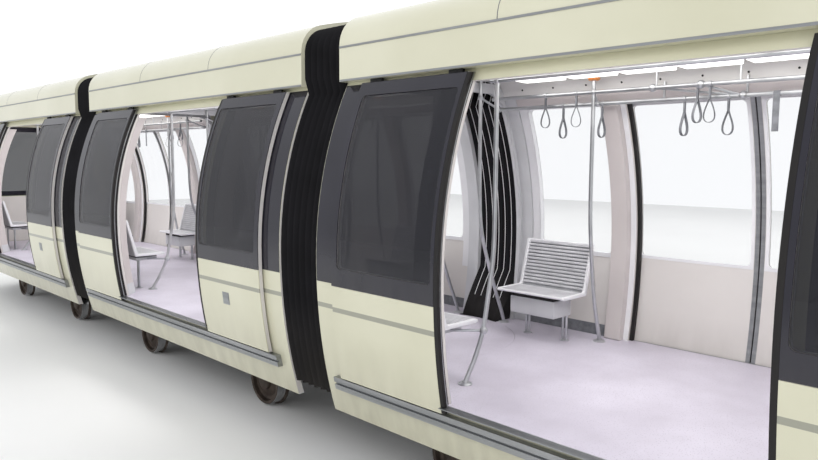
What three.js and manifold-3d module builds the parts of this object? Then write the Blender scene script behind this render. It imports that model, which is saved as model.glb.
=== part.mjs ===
// A cable-drawn people mover: one articulated vehicle of three short barrel-sided sections.
// Millimetres, +X along the track, -Y is the platform side, +Z up.
// The origin is on the ground under the middle of the vehicle, level with the wheel flanges.
// Heights inside a section are measured from its floor and lifted by `floor.height` at the end.
// Each section has an underframe, two curved side walls, a roof, four outside-hung sliding leaves
// (open on the platform side, closed on the far side), four benches and two sets of handrails.

import * as THREE from "three";
import { mergeVertices } from "three/addons/utils/BufferGeometryUtils.js";
import Module from "manifold-3d";

const wasm = await Module();
wasm.setup();

const seat = 0.3; // gap between pieces that rest on each other
const reach = 400; // how far a cutting tool runs past what it cuts
const sections = [
  { name: "lead", pitchSteps: -1, inner: [1] },
  { name: "mid", pitchSteps: 0, inner: [-1, 1] },
  { name: "tail", pitchSteps: 1, inner: [-1] },
];
const ends = [
  { letter: "a", side: -1 },
  { letter: "b", side: 1 },
];
const sides = [
  { name: "near", hand: -1 },
  { name: "far", hand: 1 },
];

const section = { pitch: 4960, halfLength: 2240 };
const pivotX = section.pitch / 2;

// The barrel side: two arcs that meet at the bulge. Insets are measured inwards from the leaf's face.
const barrel = { bulgeZ: 820, half: 1330, lowerRadius: 4200, upperRadius: 2975, steps: 8 };
const inset = { leafFace: 0, leafBack: 38, skin: 50, lining: 100 };
const wall = { bottom: -370, top: 2140 };
const floor = { height: 800, thickness: 60, sillThickness: 30, sillLap: 6 };
const windowSegments = 3;

const doorway = { half: 995, top: 2060 };
const leaf = {
  width: 1040,
  openLead: 960,
  closedLead: 3,
  bottom: -40,
  top: 2115,
  windowBottom: 790,
  windowTop: 2020,
  border: 60,
};
const leafPairs = [
  { name: "door", hand: -1, lead: leaf.openLead },
  { name: "far", hand: 1, lead: leaf.closedLead },
];
const hanger = { half: 60, inner: 997, outer: 1028, spread: 380, lap: 30 };
const doorGuide = { low: -150, high: -52, inset: 5, lap: 10, half: 2100 };
const bayWindow = { start: 1210, end: 1930, bottom: 735, top: 2030, corner: 90 };

const roof = { lipHalf: 1050, shoulderZ: 2400, shoulderRadius: 250, crownZ: 2760, ceilingZ: 2300 };
const ceiling = [
  { half: 890, z: wall.top },
  { half: 860, z: 2235 },
  { half: 800, z: 2270 },
  { half: 0, z: roof.ceilingZ },
];

const wheel = { tread: 230, flange: 258, sides: 16, offset: 1250 };
const axle = { radius: 65, bore: 66.7 };
const wheelProfile = [
  { radius: 0, y: 820 },
  { radius: 100, y: 820 },
  { radius: 190, y: 775 },
  { radius: wheel.tread, y: 812 },
  { radius: wheel.tread + 2, y: 712 },
  { radius: wheel.flange, y: 704 },
  { radius: wheel.flange, y: 684 },
  { radius: 100, y: 700 },
  { radius: axle.radius, y: 690 },
];
const flangeFlat = wheel.flange * Math.cos(Math.PI / wheel.sides);
const axleZ = flangeFlat - floor.height;

const frameBeam = { bottom: -240, solebarInner: 800, solebarOuter: 880, bearerHalf: 110 };
const runningBeam = {
  inner: 480,
  outer: 560,
  bottom: -430,
  top: -340,
  overhang: 130,
  crossX: 800,
  crossHalf: 50,
};
const axleBox = { half: 100, below: 90 };
const spring = { radius: 80, sides: 8 };

const turntable = { radius: 900, thickness: 20, clearance: 6, drop: 5.5, sides: 32 };
const drawbar = { eyeRadius: 130, bore: 64, pin: 60, half: 120, top: -150, bottom: -220, sides: 16 };
const fork = { gap: 10, plate: 35, cheek: 60 };

// The bench is an L of seat and back on a box and two legs; y is measured from the centreline,
// and the near benches stand further out, against the door wall.
const bench = {
  start: 1240,
  end: 1930,
  seatZ: 430,
  thickness: 30,
  frontY: 490,
  jointY: 830,
  backTopY: 945,
  backTopZ: 845,
  boxFrontY: 620,
  boxBackY: 800,
  boxBottom: 215,
  inset: 90,
  legY: 760,
  legHalf: 25,
  outset: { near: 100, far: 0 },
};

const tubeRadius = 17;
const tubeSides = 6;
const poleSteps = 9;
const poles = [
  { side: "near", x: 1195, bend: "near" },
  { side: "far", x: 1160, bend: "far" },
  { side: "far", x: 2185, bend: "farEnd" },
];
const poleBend = {
  near: [
    { z: 12, y: 780 },
    { z: 160, y: 680 },
    { z: 340, y: 590 },
    { z: 570, y: 545 },
    { z: 720, y: 515 },
    { z: 870, y: 490 },
    { z: 1050, y: 480 },
    { z: 1700, y: 480 },
  ],
  far: [
    { z: 12, y: 950 },
    { z: 160, y: 910 },
    { z: 350, y: 850 },
    { z: 620, y: 800 },
    { z: 930, y: 755 },
    { z: 1200, y: 735 },
    { z: 1700, y: 735 },
  ],
  farEnd: [
    { z: 12, y: 930 },
    { z: 160, y: 870 },
    { z: 350, y: 780 },
    { z: 620, y: 670 },
    { z: 860, y: 580 },
    { z: 1100, y: 540 },
    { z: 1700, y: 530 },
  ],
};
const poleFoot = { radius: 55, height: 25 };
// The far side has an upper and a lower rail along the section; the near one only ties its two poles.
const rails = { upperZ: 2120, lowerZ: 2030, lowerY: 800, strutRadius: 14 };
const railHalf = { near: 1250, far: 2205 };

// Fold depths are insets from the leaf's face; below `skirtTop` the inner side slopes in to the floor.
const bellows = {
  folds: 5,
  outer: 62,
  valley: 112,
  thickness: 16,
  bottom: -250,
  eaves: 60,
  roofInset: 30,
  skirtTop: 470,
  skirtHalf: 935,
};

// Nose lengths are measured forward from its back, or back from its tip where named so.
const nose = {
  depth: 600,
  skin: 45,
  deckTop: 0,
  chinFromTip: 180,
  chinRise: 40,
  chinTop: 100,
  waistZ: 500,
  browZ: 1700,
  browFromTip: 30,
  screenTopZ: 2320,
  screenFromTip: 260,
  capZ: 2600,
  capFromTip: 370,
  crownLift: 40,
  sideEnd: 80,
  sideLift: 20,
  cornerFromTip: 60,
  cornerIn: 90,
  faceHalf: 690,
  faceBow: 12,
  lipGap: 30,
  towReach: 640,
  towHalf: 90,
  towBottom: -230,
  towTop: -110,
};
const windscreen = {
  bottom: 850,
  top: 2130,
  bottomHalf: 1050,
  topHalf: 780,
  corner: 110,
  lean: 12,
  recess: 4,
  glass: 12,
};
const lamp = { half: 640, bottom: 330, top: 430, recess: 2, backGap: 4 };

const grip = {
  half: 350,
  halfWidth: 140,
  jawTop: -560,
  jawBottom: -700,
  groove: 20,
  grooveSides: 10,
  stemHalf: 90,
};

const paint = {
  ivory: { color: 0xe2dfc6, roughness: 0.35, metalness: 0.0 },
  frame: { color: 0x55585a, roughness: 0.6, metalness: 0.4 },
  steel: { color: 0x8f9498, roughness: 0.35, metalness: 0.9 },
  seat: { color: 0xc8c9cb, roughness: 0.45, metalness: 0.2 },
  rubber: { color: 0x1c1a1a, roughness: 0.8, metalness: 0.0 },
  glass: { color: 0x20222a, roughness: 0.1, metalness: 0.0 },
  lamp: { color: 0xf0f0ea, roughness: 0.2, metalness: 0.0 },
};

// A closed three.js geometry as a solid that can be cut and joined.
function solidOf(geometry) {
  const open = geometry.index ? geometry.toNonIndexed() : geometry.clone();
  open.deleteAttribute("normal");
  open.deleteAttribute("uv");
  const merged = mergeVertices(open, 1e-3);
  return new wasm.Manifold(
    new wasm.Mesh({
      numProp: 3,
      vertProperties: new Float32Array(merged.attributes.position.array),
      triVerts: new Uint32Array(merged.index.array),
    }),
  );
}

function geometryOf(solid) {
  const mesh = solid.getMesh();
  const points = new Float32Array(mesh.numVert * 3);
  for (let i = 0; i < mesh.numVert; i += 1) {
    points.set(mesh.vertProperties.subarray(i * mesh.numProp, i * mesh.numProp + 3), i * 3);
  }
  const geometry = new THREE.BufferGeometry();
  geometry.setAttribute("position", new THREE.BufferAttribute(points, 3));
  geometry.setIndex(new THREE.BufferAttribute(new Uint32Array(mesh.triVerts), 1));
  return geometry;
}

function join(solids) {
  return solids.reduce((all, one) => all.add(one));
}

function ordered(one, other) {
  return [Math.min(one, other), Math.max(one, other)];
}

function block(x, y, z) {
  const shape = new THREE.BoxGeometry(x[1] - x[0], y[1] - y[0], z[1] - z[0]);
  shape.translate((x[0] + x[1]) / 2, (y[0] + y[1]) / 2, (z[0] + z[1]) / 2);
  return solidOf(shape);
}

// An outline in a plane, pushed along the axis that crosses it.
function prism(outline, axis, low, high, curveSegments = 4) {
  const shape = outline instanceof THREE.Shape ? outline : new THREE.Shape(outline);
  const geometry = new THREE.ExtrudeGeometry(shape, {
    depth: high - low,
    bevelEnabled: false,
    steps: 1,
    curveSegments,
  });
  const turn = new THREE.Matrix4();
  if (axis === "x") {
    turn.set(0, 0, 1, low, 1, 0, 0, 0, 0, 1, 0, 0, 0, 0, 0, 1);
  } else if (axis === "y") {
    turn.set(1, 0, 0, 0, 0, 0, -1, high, 0, 1, 0, 0, 0, 0, 0, 1);
  } else {
    turn.makeTranslation(0, 0, low);
  }
  return solidOf(geometry.applyMatrix4(turn));
}

function disc(x, y, radius, low, high, count) {
  const shape = new THREE.CylinderGeometry(radius, radius, high - low, count);
  shape.rotateX(Math.PI / 2);
  shape.translate(x, y, (low + high) / 2);
  return solidOf(shape);
}

function rod(from, to, radius, count = tubeSides) {
  const start = new THREE.Vector3(...from);
  const along = new THREE.Vector3(...to).sub(start);
  const shape = new THREE.CylinderGeometry(radius, radius, along.length(), count);
  const turn = new THREE.Quaternion().setFromUnitVectors(
    new THREE.Vector3(0, 1, 0),
    along.clone().normalize(),
  );
  shape.applyQuaternion(turn);
  shape.translate(...start.addScaledVector(along, 0.5).toArray());
  return solidOf(shape);
}

// A bent tube through a few points.
function tube(points, radius, steps, count = tubeSides) {
  const section = new THREE.Shape();
  section.absarc(0, 0, radius, 0, 2 * Math.PI);
  const path = new THREE.CatmullRomCurve3(points.map((p) => new THREE.Vector3(...p)));
  const geometry = new THREE.ExtrudeGeometry(section, {
    extrudePath: path,
    steps,
    curveSegments: count / 2,
    bevelEnabled: false,
  });
  return solidOf(geometry);
}

function roundedRectangle(low, high, bottom, top, radius) {
  const shape = new THREE.Shape();
  shape.moveTo(low + radius, bottom);
  shape.lineTo(high - radius, bottom);
  shape.absarc(high - radius, bottom + radius, radius, -Math.PI / 2, 0);
  shape.absarc(high - radius, top - radius, radius, 0, Math.PI / 2);
  shape.absarc(low + radius, top - radius, radius, Math.PI / 2, Math.PI);
  shape.absarc(low + radius, bottom + radius, radius, Math.PI, 1.5 * Math.PI);
  return shape;
}

// The Y span of a tool that cuts through one side and leaves the other alone.
function throughSide(hand) {
  return ordered(hand * (barrel.half / 2), hand * (barrel.half + reach));
}

// Half the width of the barrel at a height above the floor.
function halfWidth(z, depth) {
  const radius = z < barrel.bulgeZ ? barrel.lowerRadius : barrel.upperRadius;
  return barrel.half - radius + Math.sqrt((radius - depth) ** 2 - (z - barrel.bulgeZ) ** 2);
}

// The barrel in flat facets between shared heights, so that pieces at different insets stay parallel.
const facetHeights = [];
for (let i = 0; i <= barrel.steps; i += 1) {
  facetHeights.push(wall.bottom + ((wall.top - wall.bottom) * i) / barrel.steps);
}

function facetHalf(z, depth) {
  const i = Math.min(Math.max(facetHeights.findIndex((h) => h >= z), 1), barrel.steps);
  const [below, above] = [facetHeights[i - 1], facetHeights[i]];
  const share = (z - below) / (above - below);
  return halfWidth(below, depth) * (1 - share) + halfWidth(above, depth) * share;
}

function sideCurve(low, high, depth, hand) {
  const heights = [low, ...facetHeights.filter((h) => h > low && h < high), high];
  return heights.map((z) => new THREE.Vector2(hand * facetHalf(z, depth), z));
}

// A curved plate that follows the barrel between two insets.
function sidePlate(low, high, outer, inner, hand, x) {
  const face = sideCurve(low, high, outer, hand);
  const back = sideCurve(low, high, inner, hand).reverse();
  return prism([...face, ...back], "x", x[0], x[1]);
}

// The roof's outer line from the lip on one side to the lip on the other, shrunk by `depth`.
function roofCurve(depth, lipZ) {
  const radius = roof.shoulderRadius - depth;
  const shoulderY = roof.lipHalf - roof.shoulderRadius;
  const crownZ = roof.crownZ - depth;
  const rise = roof.shoulderZ - crownZ;
  const crownRadius = (radius ** 2 - rise ** 2 - shoulderY ** 2) / (2 * (rise + radius));
  const centreZ = crownZ - crownRadius;
  const meet = Math.atan2(roof.shoulderZ - centreZ, shoulderY);
  const half = [new THREE.Vector2(roof.lipHalf - depth, lipZ)];
  const shoulderSteps = 4;
  for (let i = 0; i <= shoulderSteps; i += 1) {
    const angle = (meet * i) / shoulderSteps;
    half.push(
      new THREE.Vector2(shoulderY + radius * Math.cos(angle), roof.shoulderZ + radius * Math.sin(angle)),
    );
  }
  const crownSteps = 3;
  for (let i = 1; i < crownSteps; i += 1) {
    const angle = meet + ((Math.PI / 2 - meet) * i) / crownSteps;
    half.push(new THREE.Vector2(crownRadius * Math.cos(angle), centreZ + crownRadius * Math.sin(angle)));
  }
  const other = half.map((p) => new THREE.Vector2(-p.x, p.y)).reverse();
  return [...half, new THREE.Vector2(0, crownZ), ...other];
}

function underframe() {
  const end = section.halfLength;
  const deckHalf = facetHalf(-floor.thickness, inset.lining) - seat;
  const right = sideCurve(-floor.thickness, 0, inset.lining + seat, 1);
  const left = sideCurve(-floor.thickness, 0, inset.lining + seat, -1).reverse();
  const deck = prism([...right, ...left], "x", -end, end);
  const parts = [deck];
  for (const { hand } of sides) {
    const beam = ordered(hand * frameBeam.solebarInner, hand * frameBeam.solebarOuter);
    parts.push(block([-end, end], beam, [frameBeam.bottom, -floor.thickness / 2]));
  }
  const width = [-frameBeam.solebarOuter, frameBeam.solebarOuter];
  for (const x of [-end + frameBeam.bearerHalf, -wheel.offset, 0, wheel.offset, end - frameBeam.bearerHalf]) {
    const span = [x - frameBeam.bearerHalf, x + frameBeam.bearerHalf];
    parts.push(block(span, width, [frameBeam.bottom, -floor.thickness / 2]));
  }
  // Sills that carry the floor out through the doorways.
  for (const { hand } of sides) {
    const outer = facetHalf(-floor.sillThickness, inset.skin);
    const y = ordered(hand * (deckHalf - floor.sillLap), hand * outer);
    parts.push(block([-doorway.half + seat, doorway.half - seat], y, [-floor.sillThickness + seat, 0]));
  }
  return join(parts);
}

// The mid section's floor carries the round plate, and the outer sections' floors let it turn.
function turntablePlate(side) {
  return disc(side * pivotX, 0, turntable.radius, -turntable.thickness, 0, turntable.sides);
}

function turntableRecess(side) {
  const radius = turntable.radius + turntable.clearance;
  return disc(side * pivotX, 0, radius, -turntable.thickness - turntable.drop, reach, turntable.sides);
}

function tongue(side) {
  const x = ordered(side * (section.halfLength - frameBeam.bearerHalf), side * pivotX);
  const bar = block(x, [-drawbar.half, drawbar.half], [drawbar.bottom, drawbar.top]);
  const eye = disc(side * pivotX, 0, drawbar.eyeRadius, drawbar.bottom, drawbar.top, drawbar.sides);
  const bore = disc(side * pivotX, 0, drawbar.bore, -reach * 2, -turntable.thickness - seat, drawbar.sides);
  return bar.add(eye).subtract(bore);
}

function forkEnd(side) {
  const x = ordered(side * (section.halfLength - frameBeam.bearerHalf), side * pivotX);
  const parts = [];
  const plates = [
    [drawbar.top + fork.gap, drawbar.top + fork.gap + fork.plate],
    [drawbar.bottom - fork.gap - fork.plate, drawbar.bottom - fork.gap],
  ];
  for (const z of plates) {
    parts.push(block(x, [-drawbar.half, drawbar.half], z));
    parts.push(disc(side * pivotX, 0, drawbar.half, z[0], z[1], drawbar.sides));
  }
  parts.push(disc(side * pivotX, 0, drawbar.pin, plates[1][0], plates[0][1], drawbar.sides));
  const cheekEnd = section.halfLength + fork.cheek;
  const cheek = ordered(side * (section.halfLength - frameBeam.bearerHalf), side * cheekEnd);
  parts.push(block(cheek, [-drawbar.half, drawbar.half], [plates[1][0], plates[0][1]]));
  return join(parts);
}

function sideWall(hand) {
  const end = section.halfLength;
  let plate = sidePlate(wall.bottom, wall.top, inset.skin, inset.lining, hand, [-end, end]);
  const y = throughSide(hand);
  plate = plate.subtract(block([-doorway.half, doorway.half], y, [-floor.sillThickness, doorway.top]));
  for (const { side } of ends) {
    const x = ordered(side * bayWindow.start, side * bayWindow.end);
    const hole = roundedRectangle(x[0], x[1], bayWindow.bottom, bayWindow.top, bayWindow.corner);
    plate = plate.subtract(prism(hole, "y", y[0], y[1], windowSegments));
  }
  const { low, high, inset: face, lap, half } = doorGuide;
  return plate.add(sidePlate(low, high, face, inset.skin + lap, hand, [-half, half]));
}

function roofShell() {
  const lipZ = wall.top + seat;
  const half = ceiling.map((p) => new THREE.Vector2(p.half, Math.max(p.z, lipZ)));
  const other = half
    .slice(0, -1)
    .map((p) => new THREE.Vector2(-p.x, p.y))
    .reverse();
  const under = [...half, ...other].reverse();
  return prism([...roofCurve(0, lipZ), ...under], "x", -section.halfLength, section.halfLength);
}

// A sliding leaf between two X positions, hung from shoes under the roof's lip.
function slidingLeaf(hand, x) {
  let plate = sidePlate(leaf.bottom, leaf.top, inset.leafFace, inset.leafBack, hand, x);
  const { border, windowBottom, windowTop } = leaf;
  const y = throughSide(hand);
  const hole = roundedRectangle(x[0] + border, x[1] - border, windowBottom, windowTop, border);
  plate = plate.subtract(prism(hole, "y", y[0], y[1], windowSegments));
  const middle = (x[0] + x[1]) / 2;
  for (const { side } of ends) {
    const shoe = middle + side * hanger.spread;
    const shoeY = ordered(hand * hanger.inner, hand * hanger.outer);
    const span = [shoe - hanger.half, shoe + hanger.half];
    plate = plate.add(block(span, shoeY, [leaf.top - hanger.lap, wall.top]));
  }
  return plate;
}

function runningFrame() {
  const parts = [];
  const beamX = wheel.offset + runningBeam.overhang;
  for (const { hand } of sides) {
    const y = ordered(hand * runningBeam.inner, hand * runningBeam.outer);
    const middle = (y[0] + y[1]) / 2;
    parts.push(block([-beamX, beamX], y, [runningBeam.bottom, runningBeam.top]));
    for (const { side } of ends) {
      const x = side * wheel.offset;
      const boxZ = [axleZ - axleBox.below, runningBeam.bottom + seat];
      parts.push(block([x - axleBox.half, x + axleBox.half], y, boxZ));
      parts.push(disc(x, middle, spring.radius, runningBeam.top - seat, frameBeam.bottom - seat, spring.sides));
    }
  }
  const width = [-runningBeam.outer, runningBeam.outer];
  for (const { side } of ends) {
    const x = side * runningBeam.crossX;
    const span = [x - runningBeam.crossHalf, x + runningBeam.crossHalf];
    parts.push(block(span, width, [runningBeam.bottom, runningBeam.top - seat]));
  }
  let frame = join(parts);
  for (const { side } of ends) {
    const x = side * wheel.offset;
    frame = frame.subtract(rod([x, -reach * 2, axleZ], [x, reach * 2, axleZ], axle.bore, wheel.sides));
  }
  return frame;
}

// Two wheels and their axle, turned in one from the profile and its mirror image.
function wheelset() {
  const right = wheelProfile.map((p) => new THREE.Vector2(p.radius, p.y)).reverse();
  const left = wheelProfile.map((p) => new THREE.Vector2(p.radius, -p.y));
  return solidOf(new THREE.LatheGeometry([...left, ...right], wheel.sides, Math.PI / wheel.sides));
}

function benchSolid(sideName, hand, x) {
  const { seatZ, thickness, frontY, jointY, backTopY, backTopZ, boxFrontY, boxBackY, boxBottom } = bench;
  const out = bench.outset[sideName];
  const line = [
    { y: frontY, z: seatZ - thickness },
    { y: frontY, z: seatZ },
    { y: jointY, z: seatZ },
    { y: backTopY, z: backTopZ },
    { y: backTopY + thickness, z: backTopZ },
    { y: jointY + thickness, z: seatZ - thickness },
  ];
  const shell = prism(
    line.map((p) => new THREE.Vector2(hand * (p.y + out), p.z)),
    "x",
    x[0],
    x[1],
  );
  const boxX = [x[0] + bench.inset, x[1] - bench.inset];
  const boxY = ordered(hand * (boxFrontY + out), hand * (boxBackY + out));
  const parts = [shell, block(boxX, boxY, [boxBottom, seatZ - thickness / 2])];
  for (const legX of [boxX[0] + bench.inset, boxX[1] - bench.inset]) {
    const middle = hand * (bench.legY + out);
    const legY = [middle - bench.legHalf, middle + bench.legHalf];
    parts.push(block([legX - bench.legHalf, legX + bench.legHalf], legY, [seat, boxBottom + seat]));
  }
  return join(parts);
}

function handrails(name, hand) {
  const parts = [];
  const railY = poleBend[name].at(-1).y;
  for (const pole of poles.filter((p) => p.side === name)) {
    const bend = poleBend[pole.bend];
    const topY = bend.at(-1).y;
    for (const { side } of ends) {
      const x = side * pole.x;
      const points = bend.map((b) => [x, hand * b.y, b.z]);
      points.push([x, hand * topY, ceilingHeight(topY + tubeRadius) - seat]);
      parts.push(tube(points, tubeRadius, poleSteps));
      parts.push(disc(x, hand * bend[0].y, poleFoot.radius, seat, poleFoot.height, tubeSides));
      if (name === "far") {
        const strutEnd = [x, hand * rails.lowerY, rails.lowerZ];
        parts.push(rod([x, hand * topY, rails.upperZ], strutEnd, rails.strutRadius));
      }
    }
  }
  const lines = [[hand * railY, rails.upperZ]];
  if (name === "far") {
    lines.push([hand * rails.lowerY, rails.lowerZ]);
  }
  const half = railHalf[name];
  for (const [y, z] of lines) {
    parts.push(rod([-half, y, z], [half, y, z], tubeRadius));
  }
  return join(parts);
}

// Height of the ceiling's underside at a distance from the centreline.
function ceilingHeight(y) {
  for (let i = 1; i < ceiling.length; i += 1) {
    const outer = ceiling[i - 1];
    const inner = ceiling[i];
    if (y >= inner.half) {
      const share = (outer.half - y) / (outer.half - inner.half);
      return outer.z + (inner.z - outer.z) * share;
    }
  }
  return roof.ceilingZ;
}

// The arch of the bellows at one inset: up one side, over the roof and down the other.
function archCurve(depth) {
  const { bottom, eaves, roofInset } = bellows;
  const right = sideCurve(bottom, wall.top - eaves, depth, 1);
  const left = sideCurve(bottom, wall.top - eaves, depth, -1).reverse();
  return [...right, ...roofCurve(depth - roofInset, wall.top + eaves), ...left];
}

function slopedToFloor(point) {
  const { skirtTop, skirtHalf } = bellows;
  const share = Math.min(Math.max(point.y / skirtTop, 0), 1);
  const half = skirtHalf + (Math.abs(point.x) - skirtHalf) * share;
  return new THREE.Vector2(Math.sign(point.x) * half, point.y);
}

// A closed skin through outlines of equal length, one outline for each x.
function loft(rings) {
  const count = rings[0].points.length;
  const positions = [];
  for (const ring of rings) {
    for (const p of ring.points) {
      positions.push(ring.x, p.x, p.y);
    }
  }
  const index = [];
  for (let r = 0; r + 1 < rings.length; r += 1) {
    for (let i = 0; i < count; i += 1) {
      const j = (i + 1) % count;
      const here = r * count;
      const next = here + count;
      index.push(here + i, here + j, next + j, here + i, next + j, next + i);
    }
  }
  const last = (rings.length - 1) * count;
  for (const [a, b, c] of THREE.ShapeUtils.triangulateShape(rings[0].points, [])) {
    index.push(c, b, a);
  }
  for (const [a, b, c] of THREE.ShapeUtils.triangulateShape(rings.at(-1).points, [])) {
    index.push(last + a, last + b, last + c);
  }
  const geometry = new THREE.BufferGeometry();
  geometry.setAttribute("position", new THREE.Float32BufferAttribute(positions, 3));
  geometry.setIndex(index);
  return solidOf(geometry);
}

function bellowsSolid() {
  const half = pivotX - section.halfLength - seat;
  const rings = [];
  const count = bellows.folds * 2;
  for (let i = 0; i <= count; i += 1) {
    const depth = i % 2 === 0 ? bellows.outer : bellows.valley;
    const outer = archCurve(depth);
    const inner = archCurve(depth + bellows.thickness).map(slopedToFloor);
    rings.push({ x: -half + (2 * half * i) / count, points: [...outer, ...inner.reverse()] });
  }
  return loft(rings);
}

// The nose volume at a distance inside its outer face, with its back at x = 0.
function noseVolume(depth, back) {
  const cross = [
    ...sideCurve(wall.bottom + depth, wall.top, inset.skin + depth, 1),
    ...roofCurve(depth, wall.top + nose.lipGap).filter((p) => p.y > wall.top),
    ...sideCurve(wall.bottom + depth, wall.top, inset.skin + depth, -1).reverse(),
  ];
  const tip = nose.depth - depth;
  const base = wall.bottom + depth;
  const crown = roof.crownZ + nose.crownLift - depth;
  const side = new THREE.Shape(); // seen from the side
  side.moveTo(-back, base);
  side.lineTo(tip - nose.chinFromTip, base);
  side.quadraticCurveTo(tip, base + nose.chinRise, tip, nose.chinTop);
  side.lineTo(tip, nose.waistZ);
  side.quadraticCurveTo(tip - nose.browFromTip, nose.browZ, tip - nose.screenFromTip, nose.screenTopZ);
  side.quadraticCurveTo(tip - nose.capFromTip, nose.capZ, 0, crown);
  side.lineTo(-back, crown);
  const halfY = barrel.half + nose.sideLift - depth;
  const cornerX = tip - nose.cornerFromTip;
  const cornerY = halfY - nose.cornerIn;
  const plan = new THREE.Shape(); // seen from above
  plan.moveTo(-back, -halfY);
  plan.lineTo(nose.sideEnd, -halfY);
  plan.quadraticCurveTo(cornerX, -cornerY, tip - nose.faceBow, -nose.faceHalf);
  plan.quadraticCurveTo(tip + nose.faceBow, 0, tip - nose.faceBow, nose.faceHalf);
  plan.quadraticCurveTo(cornerX, cornerY, nose.sideEnd, halfY);
  plan.lineTo(-back, halfY);
  const body = prism(cross, "x", -back, nose.depth + reach);
  const profile = prism(side, "y", -barrel.half - reach, barrel.half + reach, 5);
  const top = prism(plan, "z", wall.bottom - reach, roof.crownZ + reach, 4);
  return body.intersect(profile).intersect(top);
}

function screenOutline(gap) {
  const { bottom, top, bottomHalf, topHalf, corner, lean } = windscreen;
  const shape = new THREE.Shape();
  shape.moveTo(-bottomHalf + corner, bottom + gap);
  shape.lineTo(bottomHalf - corner, bottom + gap);
  shape.quadraticCurveTo(bottomHalf - gap, bottom + gap, bottomHalf - gap - lean, bottom + corner);
  shape.lineTo(topHalf - gap + lean, top - corner);
  shape.quadraticCurveTo(topHalf - gap, top - gap, topHalf - corner, top - gap);
  shape.lineTo(-topHalf + corner, top - gap);
  shape.quadraticCurveTo(-topHalf + gap, top - gap, -topHalf + gap - lean, top - corner);
  shape.lineTo(-bottomHalf + gap + lean, bottom + corner);
  shape.quadraticCurveTo(-bottomHalf + gap, bottom + gap, -bottomHalf + corner, bottom + gap);
  return shape;
}

function noseShell() {
  const outer = noseVolume(0, 0);
  const inner = noseVolume(nose.skin, reach / 2);
  const slab = block([0, nose.depth], [-barrel.half, barrel.half], [-floor.thickness, nose.deckTop]);
  const deck = noseVolume(nose.skin / 2, 0).intersect(slab);
  const tow = block(
    [nose.depth / 2, nose.towReach],
    [-nose.towHalf, nose.towHalf],
    [nose.towBottom, nose.towTop],
  );
  const shell = outer.subtract(inner).add(deck).add(tow);
  const window = prism(screenOutline(0), "x", 0, nose.depth + reach, windowSegments);
  const lampSlot = block([nose.depth / 2, nose.depth + reach], [-lamp.half, lamp.half], [lamp.bottom, lamp.top]);
  return shell.subtract(window).subtract(lampSlot);
}

function noseGlass() {
  const { recess, glass } = windscreen;
  const skin = noseVolume(recess, 0).subtract(noseVolume(recess + glass, reach / 2));
  return skin.intersect(prism(screenOutline(seat), "x", 0, nose.depth + reach, windowSegments));
}

function noseLamps() {
  const skin = noseVolume(lamp.recess, 0).subtract(noseVolume(nose.skin - lamp.backGap, reach / 2));
  const y = [-lamp.half + seat, lamp.half - seat];
  return skin.intersect(block([nose.depth / 2, nose.depth], y, [lamp.bottom + seat, lamp.top - seat]));
}

function cableGrip() {
  const { half, halfWidth, jawTop, jawBottom, groove, grooveSides, stemHalf } = grip;
  const jaws = block([-half, half], [-halfWidth, halfWidth], [jawBottom, jawTop]);
  const stem = block([-stemHalf, stemHalf], [-stemHalf, stemHalf], [jawTop - seat, frameBeam.bottom - seat]);
  const slot = rod([-reach * 2, 0, jawBottom], [reach * 2, 0, jawBottom], groove, grooveSides);
  return jaws.add(stem).subtract(slot);
}

const root = new THREE.Group();
const lifted = new THREE.Group();
lifted.position.z = floor.height;
root.add(lifted);

function place(name, solid, finish, x = 0, mirror = false) {
  const geometry = geometryOf(mirror ? solid.mirror([1, 0, 0]) : solid);
  const material = new THREE.MeshStandardMaterial(paint[finish]);
  const mesh = new THREE.Mesh(geometry, material);
  mesh.name = name;
  mesh.position.x = x;
  lifted.add(mesh);
}

const wheels = wheelset();
const running = runningFrame();
const roofing = roofShell();
const nearWall = sideWall(-1);
const farWall = sideWall(1);

for (const { name, pitchSteps, inner } of sections) {
  const x = pitchSteps * section.pitch;
  let base = underframe();
  for (const side of inner) {
    if (name === "mid") {
      base = base.add(turntablePlate(side)).add(tongue(side));
    } else {
      base = base.subtract(turntableRecess(side)).add(forkEnd(side));
    }
  }
  place(`${name}_underframe`, base, "frame", x);
  place(`${name}_door_wall`, nearWall, "ivory", x);
  place(`${name}_far_wall`, farWall, "ivory", x);
  place(`${name}_roof`, roofing, "ivory", x);
  place(`${name}_running_frame`, running, "frame", x);
  for (const { name: sideName, hand } of sides) {
    place(`${name}_handrails_${sideName}`, handrails(sideName, hand), "steel", x);
    for (const { letter, side } of ends) {
      const span = ordered(side * bench.start, side * bench.end);
      place(`${name}_bench_${sideName}_${letter}`, benchSolid(sideName, hand, span), "seat", x);
    }
  }
  for (const { letter, side } of ends) {
    for (const pair of leafPairs) {
      const span = ordered(side * pair.lead, side * (pair.lead + leaf.width));
      place(`${name}_${pair.name}_leaf_${letter}`, slidingLeaf(pair.hand, span), "ivory", x);
    }
    place(`${name}_wheelset_${letter}`, wheels.translate([0, 0, axleZ]), "steel", x + side * wheel.offset);
  }
}

const folds = bellowsSolid();
for (const { name, side } of [
  { name: "lead", side: -1 },
  { name: "tail", side: 1 },
]) {
  place(`${name}_bellows`, folds, "rubber", side * pivotX);
  const back = side * (section.pitch + section.halfLength + seat);
  place(`${name}_nose`, noseShell(), "ivory", back, side < 0);
  place(`${name}_windscreen`, noseGlass(), "glass", back, side < 0);
  place(`${name}_lamps`, noseLamps(), "lamp", back, side < 0);
}
place("cable_grip", cableGrip(), "frame");

export default root;
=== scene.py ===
import math

import bmesh
import bpy
from mathutils import Matrix, Vector


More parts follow.
